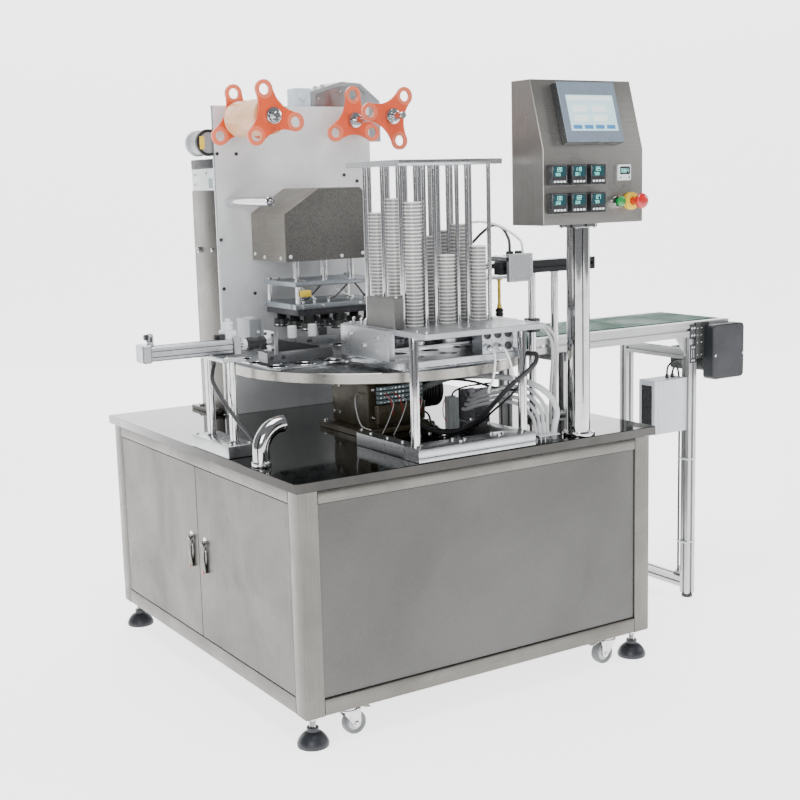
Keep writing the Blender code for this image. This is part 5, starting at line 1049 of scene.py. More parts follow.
for reel, body, reel_x, phases, tip in (("unwind_reel", "unwind", 327, (107, 98), 28),
                                        ("rewind_reel", "rewind", 708, (51, 90), 62)):
    reel_y0, reel_y1 = span(reel)[2:4]
    near_y = reel_y0 + tip
    far_y = near_y + FLANGE_GAP
    webs, rims = [], []
    for first, face in zip(phases, (near_y, far_y)):
        webs.append(carry(lobed_web(reel_x, REEL_Z, first, 0.6), "Y", face + 0.6, face + FLANGE_THICK - 0.6,
                          0.4))
        for k in range(3):
            mid = math.radians(first + 120 * k)
            rims.append(turned([(LOBE_HOLE_R, 1), (LOBE_HOLE_R + 1, 0), (LOBE_R - 1, 0), (LOBE_R, 1),
                                (LOBE_R, FLANGE_THICK - 1), (LOBE_R - 1, FLANGE_THICK),
                                (LOBE_HOLE_R + 1, FLANGE_THICK), (LOBE_HOLE_R, FLANGE_THICK - 1)],
                               reel_x + LOBE * math.cos(mid), face, REEL_Z + LOBE * math.sin(mid), "Y", 36,
                               loop=True))
    piece(reel + "_flanges", reel_orange, webs, [reel], body=body)
    piece(reel + "_rims", reel_rim, rims, body=body)
    metal = [turned([(8.5, 0), (10, 1.5), (10, PLATE_FACE - reel_y0 - 0.6)], reel_x, reel_y0, REEL_Z, "Y",
                    28,
                    grain="along"),
             turned([(13, -18), (13.5, -12), (18, -11.8), (22, -10.5), (22, 13), (18, 14)],
                    reel_x, near_y, REEL_Z, "Y", 36),
             turned([(16, -10), (22, -9), (22, 30), (20, 30), (20, 46.4)],
                    reel_x, far_y, REEL_Z, "Y", 36)]
    for k in range(3):
        turn = math.radians(phases[0] + 60 + 120 * k)
        metal.append(cap_screw(reel_x + 17.5 * math.cos(turn), near_y - 11.3,
                               REEL_Z + 17.5 * math.sin(turn), "Y",
                               2.8, -1))
    piece(reel + "_shaft", polished_steel, metal, body=body)

# Film roll
# Sealing film in a peach tint, wound on a card core; the edges of its turns show as fine rings.
film_peach = finish("film_peach", (0.74, 0.43, 0.23), rough=0.30, marks=0.4, mark_size=25,
                    Subsurface_Weight=0.15,
                    Subsurface_Radius=(0.01, 0.006, 0.004))
film_x0, film_x1, film_y0, film_y1 = span("film_roll")[:4]
wound = np.linspace(10.8, 49.4, 26)
wave = np.where(np.arange(26) % 2, 0.6, 0)
long = film_y1 - film_y0
profile = [(r, h) for r, h in zip(wound, wave)] + [(50, 0.8), (50, long - 0.8)]
profile += [(r, long - h) for r, h in zip(wound[::-1], wave[::-1])]
piece("film_windings", film_peach,
      turned(profile, (film_x0 + film_x1) / 2, film_y0, REEL_Z, "Y", 56, loop=True), ["film_roll"],
      body="unwind")

# Guide roller
# A ground steel roller turns with its spindle in the plate; the near end shows its bearing rings.
ROLLER_X = 309
ROLLER_Z = 622
roller_y0 = span("guide_roller")[2]
piece("guide_roller_barrel", chrome,
      [turned([(12, 0), (13.5, 1), (13.5, 252), (12, 253)], ROLLER_X, 668, ROLLER_Z, "Y", 40,
              grain="along"),
       turned([(5.2, 0), (6, 1), (6, PLATE_FACE - roller_y0 - 0.6)], ROLLER_X, roller_y0, ROLLER_Z,
              "Y", 24)], ["guide_roller"], body="guide_roller")
piece("guide_roller_seal", dark_plate,
      turned([(7.5, 0), (10.5, 0), (10.5, -1.2), (7.5, -1.2)], ROLLER_X, 668.2, ROLLER_Z, "Y", 36,
             loop=True), body="guide_roller")

# Seal hood
# One bent sheet of brushed steel runs over the press cylinder, with a speckled grey front plate set
# inside its edge and white capped screws along the lower edge.
HOOD_FRONT = 718
HOOD_BOTTOM = 452
HOOD_TOP = 655
SHEET = 3
hood_x0, hood_x1, _, hood_y1 = span("seal_hood")[:4]
beige_steel = finish("beige_steel", (0.24, 0.225, 0.198), metal=0.85, rough=0.34, lines=(6, 900, 0),
                     marks=0.4)
speckled_grey = finish("speckled_grey", (0.115, 0.112, 0.105), metal=0.5, rough=0.38, spots=0.3,
                       spot_size=500, marks=0.4)


def hood_outline(inset):
    """The hood from the front, moved in by an inset: upright left side, long slope, short chamfer."""
    return [(hood_x0 + inset, HOOD_BOTTOM), (hood_x0 + inset, 586 - inset * 0.5),
            (487 + inset * 0.3, HOOD_TOP - inset),
            (hood_x1 - 16 - inset * 0.4, HOOD_TOP - inset), (hood_x1 - inset, HOOD_TOP - 14 - inset * 0.4),
            (hood_x1 - inset, HOOD_BOTTOM)]


piece("hood_wrap", beige_steel,
      carry(hood_outline(0) + hood_outline(SHEET)[::-1], "Y", HOOD_FRONT, hood_y1, 0.4), ["seal_hood"])
piece("hood_front", speckled_grey,
      carry(hood_outline(SHEET + 0.1), "Y", HOOD_FRONT + 0.9, HOOD_FRONT + SHEET, 0.3))
caps = [turned([(5.2, 0), (5.2, -2), (3.6, -3.4)], hood_x0, y, z, "X", 18)
        for y, z in ((905, 470), (845, 462), (745, 462))]
caps += [turned([(5.2, 0), (5.2, -2), (3.6, -3.4)], x, HOOD_FRONT + 1, z, "Y", 18)
         for x, z in ((392, 466), (558, 461), (628, 466))]
piece("hood_caps", valve_white, caps)

# Press cylinder and head
# The cylinder block holds two ground guide rods and the piston. Below it the head is two plates on
# spacers with a heater plate and nine sprung heads, one for each cup, which move up and down.
PRESS_X = TABLE_X
PRESS_Y = 762
UPPER_TOP = 397
LOWER_TOP = 336
SHOE_Z = 260
bpy.data.objects["press_cylinder"].data.materials[0] = deck_satin
head_blue = finish("head_blue", (0.33, 0.36, 0.39), metal=0.7, rough=0.30, marks=0.5, mark_size=12,
                   lines=(10, 900, 0))
piece("press_plates", head_blue,
      [block(378, 664, 670, 862, 384, UPPER_TOP, 2), block(372, 668, 662, 870, 321, LOWER_TOP, 2)],
      ["press_head"], body="press_head")
piece("heater_plate", dark_plate, block(382, 658, 668, 858, 303, 321.2, 2), body="press_head")
bright = [turned([(9, 0), (9, 148.5), (8, 149.5)], PRESS_X + dx, PRESS_Y, UPPER_TOP - 0.5, "Z", 28,
                 grain="along")
          for dx in (-90, 90)]
bright.append(turned([(11, 0), (11, 149.5)], PRESS_X, PRESS_Y, UPPER_TOP - 0.5, "Z", 28, grain="along"))
bright += [turned([(7, 0), (7, 49)], PRESS_X + dx, y, LOWER_TOP - 0.5, "Z", 20, grain="along")
           for dx in (-130, 130) for y in (680, 852)]
piece("press_rods", chrome, bright, body="press_head")
bolts = [turned([(7.5, 0), (7.5, 5), (6, 6)], PRESS_X + dx, y, UPPER_TOP - 0.2, "Z", 6)
         for dx in (-130, 126) for y in (682, 850)]
bolts += [turned([(6.5, 0), (6.5, 5), (5, 6)], x, y, UPPER_TOP - 0.2, "Z", 6)
          for x, y in ((412, 690), (628, 690), (412, 836))]
bolts += screw_grid((395, 460, 580, 645), 662, 328.5, "Y", 4.5, -1)
bolts += screw_grid(372, (690, 840), 328.5, "X", 4.5, -1)
piece("press_bolts", zinc, bolts, body="press_head")
spring = [(23.5, 0), (22.5, 21.5), (15, 22.5)]
for k in range(5):
    spring += [(12.8, 24 + 4 * k), (15.2, 26 + 4 * k)]
spring += [(12.8, 44)]
heads, shoes = [], []
for row in range(3):
    for column in (-1, 0, 1):
        x = PRESS_X + CUP_PITCH_X * column
        y = TABLE_Y + CUP_ROW_R - CUP_PITCH_Y * row
        heads.append(turned(spring, x, y, SHOE_Z + 0.2, "Z", 28))
        shoes.append(turned([(22.5, 0), (23.3, 1), (23.3, 7), (22.5, 8)], x, y, SHOE_Z, "Z", 28))
piece("seal_springs", cast_paint, heads, body="press_head")
piece("seal_shoes", polished_steel, shoes, body="press_head")
elbows = []
for x in (404, 440, 486, 560, 606):
    elbows.append(turned([(5.5, 0), (5.5, 9), (4.2, 10), (4.2, 16)], x, 678, LOWER_TOP - 0.5, "Z", 14))
    elbows.append(turned([(4.2, 0), (4.2, -6), (5, -6), (5, -11)], x, 680, 348, "Y", 14))
piece("press_fittings", polished_steel, elbows, body="press_head")
piece("press_black_cables", black_sheath,
      [lead([(404, 669.5, 348), (416, 668, 352), (446, 676, 372), (470, 690, 384.5)], 2.6),
       lead([(486, 669.5, 348), (500, 668, 350), (532, 676, 370), (560, 690, 384.5)], 2.6),
       lead([(606, 669.5, 348), (596, 668, 352), (584, 676, 372), (580, 690, 384.5)], 2.6)],
       body="press_head")
piece("press_white_cables", white_wire,
      [lead([(440, 669.5, 348), (430, 668, 354), (412, 676, 370), (404, 690, 384.5)], 2.2),
       lead([(560, 669.5, 348), (548, 668, 352), (520, 676, 366), (506, 690, 384.5)], 2.2)],
       body="press_head")
piece("press_sensor", tag_yellow,
      block(392, 424, 664, 672, 356, 374, 2, 1, "X"), body="press_head")

# Left hand slide
# An aluminium block with two ground posts and a bridge holds an air cylinder. Its rod pushes a plate
# with a grey bar and a black wedge; black and white air fittings stand on the cylinder.
stand_x0, stand_x1, stand_y0, stand_y1, stand_z0, bridge_top = span("slide_stand")
STAND_TALL = 32
SLIDE_Y = 455
SLIDE_Z = 268
POST_SPOTS = ((40, 390), (40, 524))
piece("slide_blocks", satin_aluminium,
      [block(stand_x0, stand_x1, stand_y0, stand_y1, stand_z0, STAND_TALL, 2, 1.5),
       block(12, 68, 376, 540, bridge_top - 12, bridge_top, 2)], ["slide_stand"])
piece("slide_posts", chrome,
      [turned([(13.5, 0), (13.5, 4), (11, 4.5), (11, 204.5)], x, y, STAND_TALL - 0.2, "Z", 28,
              grain="along") for x, y in POST_SPOTS])
slide_screws = screw_grid((14, 66), (360, 562), STAND_TALL, "Z", 4.5)
slide_screws += screw_grid(26, (384, 530), bridge_top, "Z", 3.5, 0.8)
cylinder_x1 = span("slide_cylinder")[1]
NOSE_START = 70
TAIL_END = -149
bpy.data.objects["slide_cylinder"].data.materials[0] = deck_satin
# Painted shade: thin dark strips on the cylinder's side and top stand for the shade inside its slots.
piece("cylinder_slots", dark_plate,
      [block(TAIL_END, NOSE_START, 435.7, 436.6, z, z + 2.2, 0.3, 0.2) for z in (258, 272)]
      + [block(TAIL_END, NOSE_START, y, y + 2.2, 284.6, 285.4, 0.3, 0.2) for y in (448, 460)])
slide_screws += screw_grid(cylinder_x1, (437, 473), (252, 284), "X", 3, 0.8)
piece("slide_screws", zinc, slide_screws)
piece("slide_fittings_black", moulded_black,
      [turned([(8.5, 0), (8.5, 12), (7, 13), (7, 19)], -144, SLIDE_Y, 296, "Z", 20),
       turned([(7, 0), (7, -14), (5.8, -15)], -144, SLIDE_Y, 307.5, "X", 18),
       block(36, 51.5, 442, 464, 285.2, 300, 3, 1),
       turned([(6.2, 0), (6.2, -13), (5.2, -14)], 40, SLIDE_Y, 293, "X", 18)])
piece("slide_fittings_white", valve_white,
      [block(53.8, 84.2, 442.8, 485.2, 284, 306.4, 3, 1),
       turned([(12, 0), (13, 1), (13, 20), (11.5, 22), (7, 22), (7, 30)],
              70, 462, 306, "Z", 28)])
CARRIAGE_FACE = 178
piece("slide_rod", chrome,
      [turned([(7.5, 0), (8, 1), (8, 203.5)], -24.5, SLIDE_Y, SLIDE_Z, "X", 28, grain="along")],
      ["slide_carriage"], body="slide")
piece("slide_coupling", moulded_black,
      [turned([(15.8, 0), (17, 1.5), (17, 16), (15, 17.5), (15, 34.5), (17, 36),
               (17, 50.5), (15.8, 52)], 114, SLIDE_Y, SLIDE_Z, "X", 36)], body="slide")
piece("slide_ring", valve_white,
      turned([(12, 0), (13.2, 1), (13.2, 9), (12, 10)], 103.5, SLIDE_Y, SLIDE_Z, "X", 32), body="slide")
pusher_grey = finish("pusher_grey", (0.20, 0.205, 0.21), metal=0.8, rough=0.30, lines=(8, 900, 0),
                     marks=0.5)
piece("slide_plate", satin_aluminium,
      carry(square(421, 479, 236, 297, 3, 3), "X", CARRIAGE_FACE, 189, 0.8), body="slide")
piece("slide_bar", pusher_grey, block(158, 352, 425, 475, 216, 244, 1.5), body="slide")
piece("slide_wedge", moulded_black,
      carry([(188.5, 243.8), (318, 243.8), (318, 248), (188.5, 276)], "Y", 435, 471, 1), body="slide")
plate_bolts = screw_grid(CARRIAGE_FACE, (430, 470), (250, 288), "X", 4.2, -0.8)
plate_bolts += screw_grid((170, 204), 425, 229, "Y", 5.5, -0.5)
piece("slide_bolts", dark_plate, plate_bolts, body="slide")

# Cable elbow
# A bent pipe of polished steel leads cables through the worktop; a clamp ring with two screw ears
# holds it at its foot, and its mouth is open.
elbow_x0, elbow_x1, elbow_y0, elbow_y1, elbow_z0, elbow_z1 = span("elbow_pipe")
ELBOW_R = 21
ELBOW_BEND = 60
elbow_x = elbow_x0 + ELBOW_R
elbow_y = (elbow_y0 + elbow_y1) / 2
elbow_rise = elbow_z1 - ELBOW_R - ELBOW_BEND
sweep_turn = np.linspace(math.pi, math.pi / 2, 21)
elbow_line = [at(elbow_x, elbow_y, z) for z in np.linspace(elbow_z0, elbow_rise - 2, 4)]
elbow_line += [at(elbow_x + ELBOW_BEND * (1 + math.cos(a)), elbow_y, elbow_rise + ELBOW_BEND * math.sin(a))
               for a in sweep_turn]
mirror_pipe = finish("mirror_pipe", (0.50, 0.50, 0.50), metal=1, rough=0.07, marks=0.7, mark_size=18)
piece("elbow_skin", mirror_pipe,
      [tube(elbow_line, ELBOW_R - 0.2, 36),
       turned([(20, -6), (ELBOW_R, -5), (ELBOW_R, 0), (18.5, 0), (18.5, -4.5)], elbow_x1, elbow_y,
              elbow_z1 - ELBOW_R, "X", 36)], ["elbow_pipe"])
# Painted shade: a flat black disc just inside the open mouth stands for the shade inside the pipe.
piece("elbow_mouth", moulded_black,
      turned([(18.4, 0), (18.4, 0.6)], elbow_x1 - 4, elbow_y, elbow_z1 - ELBOW_R, "X", 32))
piece("elbow_clamp", zinc,
      [turned([(20.5, 0), (23.5, 0), (24, 1), (24, 11), (23.5, 12), (20.5, 12)],
              elbow_x, elbow_y, elbow_z0, "Z", 36, loop=True),
       block(elbow_x - 6, elbow_x + 6, elbow_y - 30, elbow_y - 22.5, elbow_z0 + 1, 11.5),
       block(elbow_x - 6, elbow_x + 6, elbow_y + 22.5, elbow_y + 30, elbow_z0 + 1, 11.5)]
      + screw_grid(elbow_x, (elbow_y - 26.2, elbow_y + 26.2), 11.4, "Z", 2.8))

# Pole
# A polished stainless tube with a bolted flange at the worktop and another under the control box.
POLE_X = 867
POLE_Y = 45
POLE_R = 30
pole_z0, pole_z1 = span("pole")[4:]
pole_long = pole_z1 - pole_z0
piece("pole_tube", mirror_pipe,
      [turned([(42.5, 0), (43, 1), (43, 7.5), (42.5, 8), (33.5, 8), (POLE_R, 10.5),
               (POLE_R, pole_long - 10.5), (34, pole_long - 8.5), (49.5, pole_long - 8.5),
               (50, pole_long - 8), (50, pole_long)], POLE_X, POLE_Y, pole_z0, "Z", 56, grain="along")],
               ["pole"])
piece("pole_bolts", zinc,
      [cap_screw(POLE_X + 37.5 * math.cos(a), POLE_Y + 37.5 * math.sin(a), pole_z0 + 7.9, "Z", 3.8)
       for a in np.radians(np.arange(30, 390, 90))]
      + [cap_screw(POLE_X + 42 * math.cos(a), POLE_Y + 42 * math.sin(a), pole_z1 - 8.5, "Z", 3.8, -1)
         for a in np.radians(np.arange(45, 405, 90))])

# Control box
# A sheet steel box with a sloped front. Six temperature controllers sit in its face, with a counter,
# a start button in a bright ring and an emergency stop on a yellow disc.
BOX_LEFT = 703
BOX_RIGHT = 1029
BOX_FRONT = -20
BOX_BACK = 105
BOX_BOTTOM = 550
BOX_EDGE = 733
BOX_TOP = 905
BOX_TOP_FRONT = 31
box_steel = finish("box_steel", (0.25, 0.243, 0.228), metal=0.85, rough=0.34, lines=(5, 700, 0), marks=0.4)
bezel_black = finish("bezel_black", (0.020, 0.021, 0.023), rough=0.25, marks=0.4, mark_size=40,
                     Coat_Weight=0.3)
display_teal = finish("display_teal", (0.006, 0.045, 0.055), rough=0.12, marks=0.3, mark_size=60,
                      Coat_Weight=1)
digit_glow = finish("digit_glow", (0.35, 0.85, 0.80), rough=0.4, marks=0.1,
                    Emission_Color=(0.30, 0.95, 0.85, 1),
                    Emission_Strength=0.9)
key_white = finish("key_white", (0.75, 0.78, 0.78), rough=0.35, marks=0.3, mark_size=60)
piece("box_shell", box_steel,
      carry([(BOX_FRONT, BOX_BOTTOM), (BOX_FRONT, BOX_EDGE), (BOX_TOP_FRONT, BOX_TOP), (BOX_BACK, BOX_TOP),
             (BOX_BACK, BOX_BOTTOM)], "X", BOX_LEFT, BOX_RIGHT, 1.5), ["control_box"])
SEGMENTS = {"a": (0, 2, 1, 2), "b": (1, 1, 1, 2), "c": (1, 0, 1, 1), "d": (0, 0, 1, 0), "e": (0, 0, 0, 1),
            "f": (0, 1, 0, 2),
            "g": (0, 1, 1, 1)}
LIT = {"0": "abcdef", "1": "bc", "2": "abged", "3": "abgcd", "4": "fgbc", "5": "afgcd", "6": "afgedc",
       "7": "abc",
       "8": "abcdefg", "9": "abcfgd"}


def seven_segment(number, x, y, z, tall):
    """Thin bars that spell a number in seven-segment figures, from its lower left corner on a face at y."""
    half = tall / 2
    thick = tall * 0.09
    bars = []
    for place_in_row, figure in enumerate(number):
        left = x + place_in_row * tall * 0.78
        for name in LIT[figure]:
            a0, b0, a1, b1 = (value * half for value in SEGMENTS[name])
            bars.append(block(left + a0 - thick / 2, left + a1 + thick / 2, y - 0.3, y + 0.2,
                              z + b0 - thick / 2, z + b1 + thick / 2, thick * 0.2, 0, "Y"))
    return bars


GAUGE_HALF = 24
GAUGE_FACE = BOX_FRONT - 22
housings, displays, figures, keys = [], [], [], []
for row_z, settings_row in ((672, ("120", "118", "125")), (603, ("130", "122", "127"))):
    for gauge_x, value in zip((737, 799, 861), settings_row):
        housings.append(carry(square(gauge_x - GAUGE_HALF, gauge_x + GAUGE_HALF, row_z - 25, row_z + 25, 3,
                                     3), "Y",
                              GAUGE_FACE + 0.8, BOX_FRONT + 0.4, 1))
        housings.append(border(square(gauge_x - GAUGE_HALF, gauge_x + GAUGE_HALF, row_z - 25, row_z + 25, 3,
                                      3),
                               "Y", GAUGE_FACE + 2, GAUGE_FACE - 0.4, 3))
        displays.append(block(gauge_x - 19.5, gauge_x + 19.5, GAUGE_FACE + 0.2, GAUGE_FACE + 1.2, row_z - 4,
                              row_z + 20.5, 1.5, 0.2, "Y"))
        figures += seven_segment(value, gauge_x - 12, GAUGE_FACE + 0.2, row_z + 9, 8.8)
        figures += seven_segment(value[::-1].replace("1", "0", 1), gauge_x - 12, GAUGE_FACE + 0.2,
                                 row_z - 1.8, 6.6)
        keys += [block(gauge_x + dx - 3.4, gauge_x + dx + 3.4, GAUGE_FACE - 0.4, GAUGE_FACE + 1.4,
                       row_z - 18.5, row_z - 13.5, 1, 0.3, "Y") for dx in (-15, -5, 5, 15)]
piece("gauge_housings", bezel_black, housings)
piece("gauge_displays", display_teal, displays)
piece("gauge_keys", key_white, keys)
COUNTER_FACE = BOX_FRONT - 8
figures += seven_segment("0864", 948, COUNTER_FACE - 0.1, 675.5, 8.5)
piece("gauge_figures", digit_glow, figures)
piece("counter_bezel", valve_white,
      carry(square(940, 982, 655, 695, 3, 3), "Y", COUNTER_FACE, BOX_FRONT + 0.4, 1.2))
piece("counter_window", bezel_black,
      [block(944, 978, COUNTER_FACE - 0.2, COUNTER_FACE + 1, 670, 690, 1, 0.2, "Y"),
       block(945, 949, COUNTER_FACE - 0.6, COUNTER_FACE + 1, 660, 664.5, 1, 0.2, "Y"),
       block(973, 977, COUNTER_FACE - 0.6, COUNTER_FACE + 1, 660, 664.5, 1, 0.2, "Y")])
BUTTON_Z = 603
START_X = 938
STOP_X = 984
start_green = finish("start_green", (0.008, 0.24, 0.05), rough=0.22, marks=0.3, mark_size=60,
                     Coat_Weight=0.6)
stop_yellow = finish("stop_yellow", (0.75, 0.48, 0.01), rough=0.35, marks=0.3, mark_size=60)
piece("start_ring", chrome,
      turned([(10.5, 0), (16.5, 0), (16.5, -11), (15, -13.8), (14, -13.8), (13.8, -10),
              (10.5, -10)], START_X, BOX_FRONT + 0.3, BUTTON_Z, "Y", 36, loop=True))
piece("stop_ring", stop_yellow,
      turned([(10.5, 0), (22, 0), (22, -12), (20.5, -13.8), (10.5, -13.8)], STOP_X,
             BOX_FRONT + 0.3, BUTTON_Z, "Y", 44, loop=True))
start_y0 = span("start_button")[2]
stop_y0 = span("stop_button")[2]
piece("start_cap", start_green,
      turned([(11, 0), (12.4, 0.8), (13, 2.2), (13, 5.8), (9, 6), (9, 18)],
             START_X, start_y0, BUTTON_Z, "Y", 36), ["start_button"], body="start_button")
piece("stop_mushroom", red_enamel,
      turned([(7.5, 0), (12.5, 0.6), (16.5, 2.4), (18.9, 5.4), (19.5, 8.5), (19.2, 12.5),
              (17, 16.2), (14, 18), (9.2, 18.2), (9.2, 44)], STOP_X, stop_y0, BUTTON_Z, "Y", 44),
      ["stop_button"], body="stop_button")

# Touch panel
# A seven inch panel in a blue-grey plastic frame is let into the slope. Its pale screen shows plain
# blocks of colour.
slope = math.atan2(BOX_TOP_FRONT - BOX_FRONT, BOX_TOP - BOX_EDGE)


def slope_plate(x0, x1, up0, up1, out0, out1, ease=0.5):
    """A flat block on the sloped face, from distances up along the slope and out from it."""
    corners = [(BOX_FRONT + up * math.sin(slope) - out * math.cos(slope),
                BOX_EDGE + up * math.cos(slope) + out * math.sin(slope))
               for up, out in ((up0, out0), (up0, out1), (up1, out1), (up1, out0))]
    return carry(corners, "X", x0, x1, ease)


panel_frame = finish("panel_frame", (0.16, 0.20, 0.25), rough=0.35, marks=0.4, mark_size=30, spots=0.1)
screen_cyan = finish("screen_cyan", (0.50, 0.72, 0.76), rough=0.10, marks=0.2, Coat_Weight=1,
                     Emission_Color=(0.60, 0.85, 0.88, 1), Emission_Strength=0.35)
screen_blue = finish("screen_blue", (0.06, 0.20, 0.42), rough=0.12, marks=0.2, Coat_Weight=1,
                     Emission_Color=(0.10, 0.30, 0.60, 1), Emission_Strength=0.25)
screen_pale = finish("screen_pale", (0.80, 0.86, 0.86), rough=0.12, marks=0.2, Coat_Weight=1,
                     Emission_Color=(0.85, 0.92, 0.92, 1), Emission_Strength=0.3)
PANEL_X0 = 765
PANEL_X1 = 951
piece("touch_housing", bezel_black, slope_plate(PANEL_X0, PANEL_X1, 12, 166, 0.5, 20.5, 1),
      ["touch_panel"])
piece("touch_frame", panel_frame,
      slope_plate(PANEL_X0 + 0.5, PANEL_X1 - 0.5, 12.5, 165.5, 20, 23.8, 1.5))
piece("touch_screen", screen_cyan,
      slope_plate(PANEL_X0 + 20, PANEL_X1 - 14, 40, 132, 23, 24.1, 0.3))
piece("screen_keys", screen_blue,
      [slope_plate(792 + 36 * k, 820 + 36 * k, 45, 55, 23.6, 24.3, 0.2) for k in range(4)])
piece("screen_fields", screen_pale,
      [slope_plate(790, 931, 119, 128, 23.6, 24.3, 0.2)]
      + [slope_plate(800 + 62 * k, 846 + 62 * k, 64 + 25 * row, 80 + 25 * row, 23.6, 24.3, 0.2)
         for k in range(2) for row in range(2)])

# Conveyor frame
# Slotted aluminium beams stand on slotted legs with rubber feet, tied by cross bars and gussets. Two
# short posts carry the near end on the worktop, and a black plate with four screws joins beam and leg.
frame_x0, frame_x1, beam_y0, beam_y1, floor_z, BEAM_TOP = span("conveyor_frame")
BEAM_WIDE = 30
BEAM_BOTTOM = 177
LEG_X0 = 1534
LEG_X1 = 1566
SLOT = 4
beam_satin = finish("beam_satin", (0.46, 0.463, 0.466), metal=0.9, rough=0.34, lines=(3, 500, 0),
                    marks=0.25)


def slotted(a0, a1, b0, b1, sides):
    """The outline of an extrusion with a slot down the middle of each side named: a0, a1, b0 or b1."""
    am, bm = (a0 + a1) / 2, (b0 + b1) / 2
    half, deep = SLOT, 6
    notch = {"b0": [(am - half, b0), (am - half, b0 + deep), (am + half, b0 + deep), (am + half, b0)],
             "a1": [(a1, bm - half), (a1 - deep, bm - half), (a1 - deep, bm + half), (a1, bm + half)],
             "b1": [(am + half, b1), (am + half, b1 - deep), (am - half, b1 - deep), (am - half, b1)],
             "a0": [(a0, bm + half), (a0 + deep, bm + half), (a0 + deep, bm - half), (a0, bm - half)]}
    outline = []
    for side, corner in (("b0", (a0, b0)), ("a1", (a1, b0)), ("b1", (a1, b1)), ("a0", (a0, b1))):
        outline += [corner] + (notch[side] if side in sides else [])
    return outline


extrusions, feet = [], []
for y0, y1 in ((beam_y0, beam_y0 + BEAM_WIDE), (beam_y1 - BEAM_WIDE, beam_y1)):
    extrusions.append(carry(slotted(y0, y1, BEAM_BOTTOM, BEAM_TOP, ("a0", "a1")), "X", frame_x0, frame_x1,
                            0.3))
    extrusions.append(carry(slotted(LEG_X0, LEG_X1, y0, y1, ("a0", "a1", "b0", "b1")), "Z", floor_z + 12,
                            BEAM_BOTTOM, 0.3))
    extrusions.append(carry(slotted(1040, 1070, y0, y1, ("a0", "b0")), "Z", 0.3, BEAM_BOTTOM, 0.3))
    feet.append(turned([(16, 0), (17, 1), (17, 9), (16, 11.8)], 1550, (y0 + y1) / 2, floor_z, "Z", 28))
inner_near = beam_y0 + BEAM_WIDE
inner_far = beam_y1 - BEAM_WIDE
for x0, x1, z0, z1 in ((LEG_X0, LEG_X1, floor_z + 30, floor_z + 62), (LEG_X0, LEG_X1, 107, 137),
                       (1040, 1070, 147, 175)):
    extrusions.append(carry(slotted(x0, x1, z0, z1, ("a0", "b1")), "Y", inner_near, inner_far, 0.3))
extrusions.append(carry([(1534.5, 177.5), (1534.5, 117), (1490, 177.5)], "Y", 326, 330, 0.4))
for start, way in ((inner_near, 1), (inner_far, -1)):
    extrusions.append(carry([(start, floor_z + 61.5), (start, floor_z + 110),
                             (start + 48 * way, floor_z + 61.5)], "X",
                            1548, 1552, 0.4))
piece("conveyor_beams", beam_satin, extrusions, ["conveyor_frame"])
piece("conveyor_feet", moulded_black, feet)
piece("conveyor_joint", dark_plate,
      [block(1536, 1576.5, beam_y0 - 2.4, beam_y0 + 0.4, 171.5, 214, 2),
       block(1538, 1564, beam_y0 - 2.2, beam_y0 + 0.4, 97, 153, 2),
       block(1042, 1068, beam_y0 - 1.2, beam_y0 + 0.4, 150, 176, 1)])
joint_screws = screw_grid((1541.5, 1551.5), beam_y0 - 2.4, (182, 204), "Y", 3.4, -0.7)
joint_screws += screw_grid((1542.5, 1551.5), beam_y0 - 2.2, (105, 145), "Y", 3, -0.7)
joint_screws += [block(x - 1.2, x + 1.2, beam_y0 - 2.8, beam_y0, 112, 138, 0.5, 0.2)
                 for x in (1542.5, 1551.5)]

# Belt and rollers
# An endless green belt with a matt woven face runs over two steel rollers with machined journals.
belt_green = finish("belt_green", (0.010, 0.080, 0.045), rough=0.62, marks=0.5, mark_size=10, spots=0.25,
                    spot_size=1600)
belt_y0, belt_y1, belt_z0, belt_top = span("conveyor_belt")[2:]
ROLL_X0 = 970
ROLL_X1 = 1682
ROLL_R = 20
ROLL_Z = (belt_z0 + belt_top) / 2


def band(radius):
    """The outline of the belt at a distance from the rollers' middles, a half circle about each."""
    turn = np.radians(np.linspace(90, 270, 25))
    near = np.column_stack([ROLL_X0 + radius * np.cos(turn), ROLL_Z + radius * np.sin(turn)])
    far = np.column_stack([ROLL_X1 - radius * np.cos(turn), ROLL_Z - radius * np.sin(turn)])
    return np.vstack([near, far])


belt_outer = (belt_top - belt_z0) / 2
inner, outer = band(ROLL_R + 0.6), band(belt_outer)
rings = [[at(x, y, z) for x, z in line] for line, y in
         ((inner, belt_y0), (outer, belt_y0), (outer, belt_y1), (inner, belt_y1))]
piece("belt_band", belt_green, skin(np.array(rings).transpose(1, 0, 2), loop=True),
      ["conveyor_belt"])
for roller, x in (("drive_roller", ROLL_X1), ("idler_roller", ROLL_X0)):
    y0, y1 = span(roller)[2:4]
    piece(roller + "_barrel", chrome,
          turned([(6.8, 0), (7.5, 0.8), (7.5, 32), (19, 32), (ROLL_R, 33), (ROLL_R, y1 - y0 - 33),
                  (19, y1 - y0 - 32), (7.5, y1 - y0 - 32), (7.5, y1 - y0 - 0.8), (6.8, y1 - y0)],
                 x, y0, ROLL_Z, "Y", 40), [roller], body=roller)

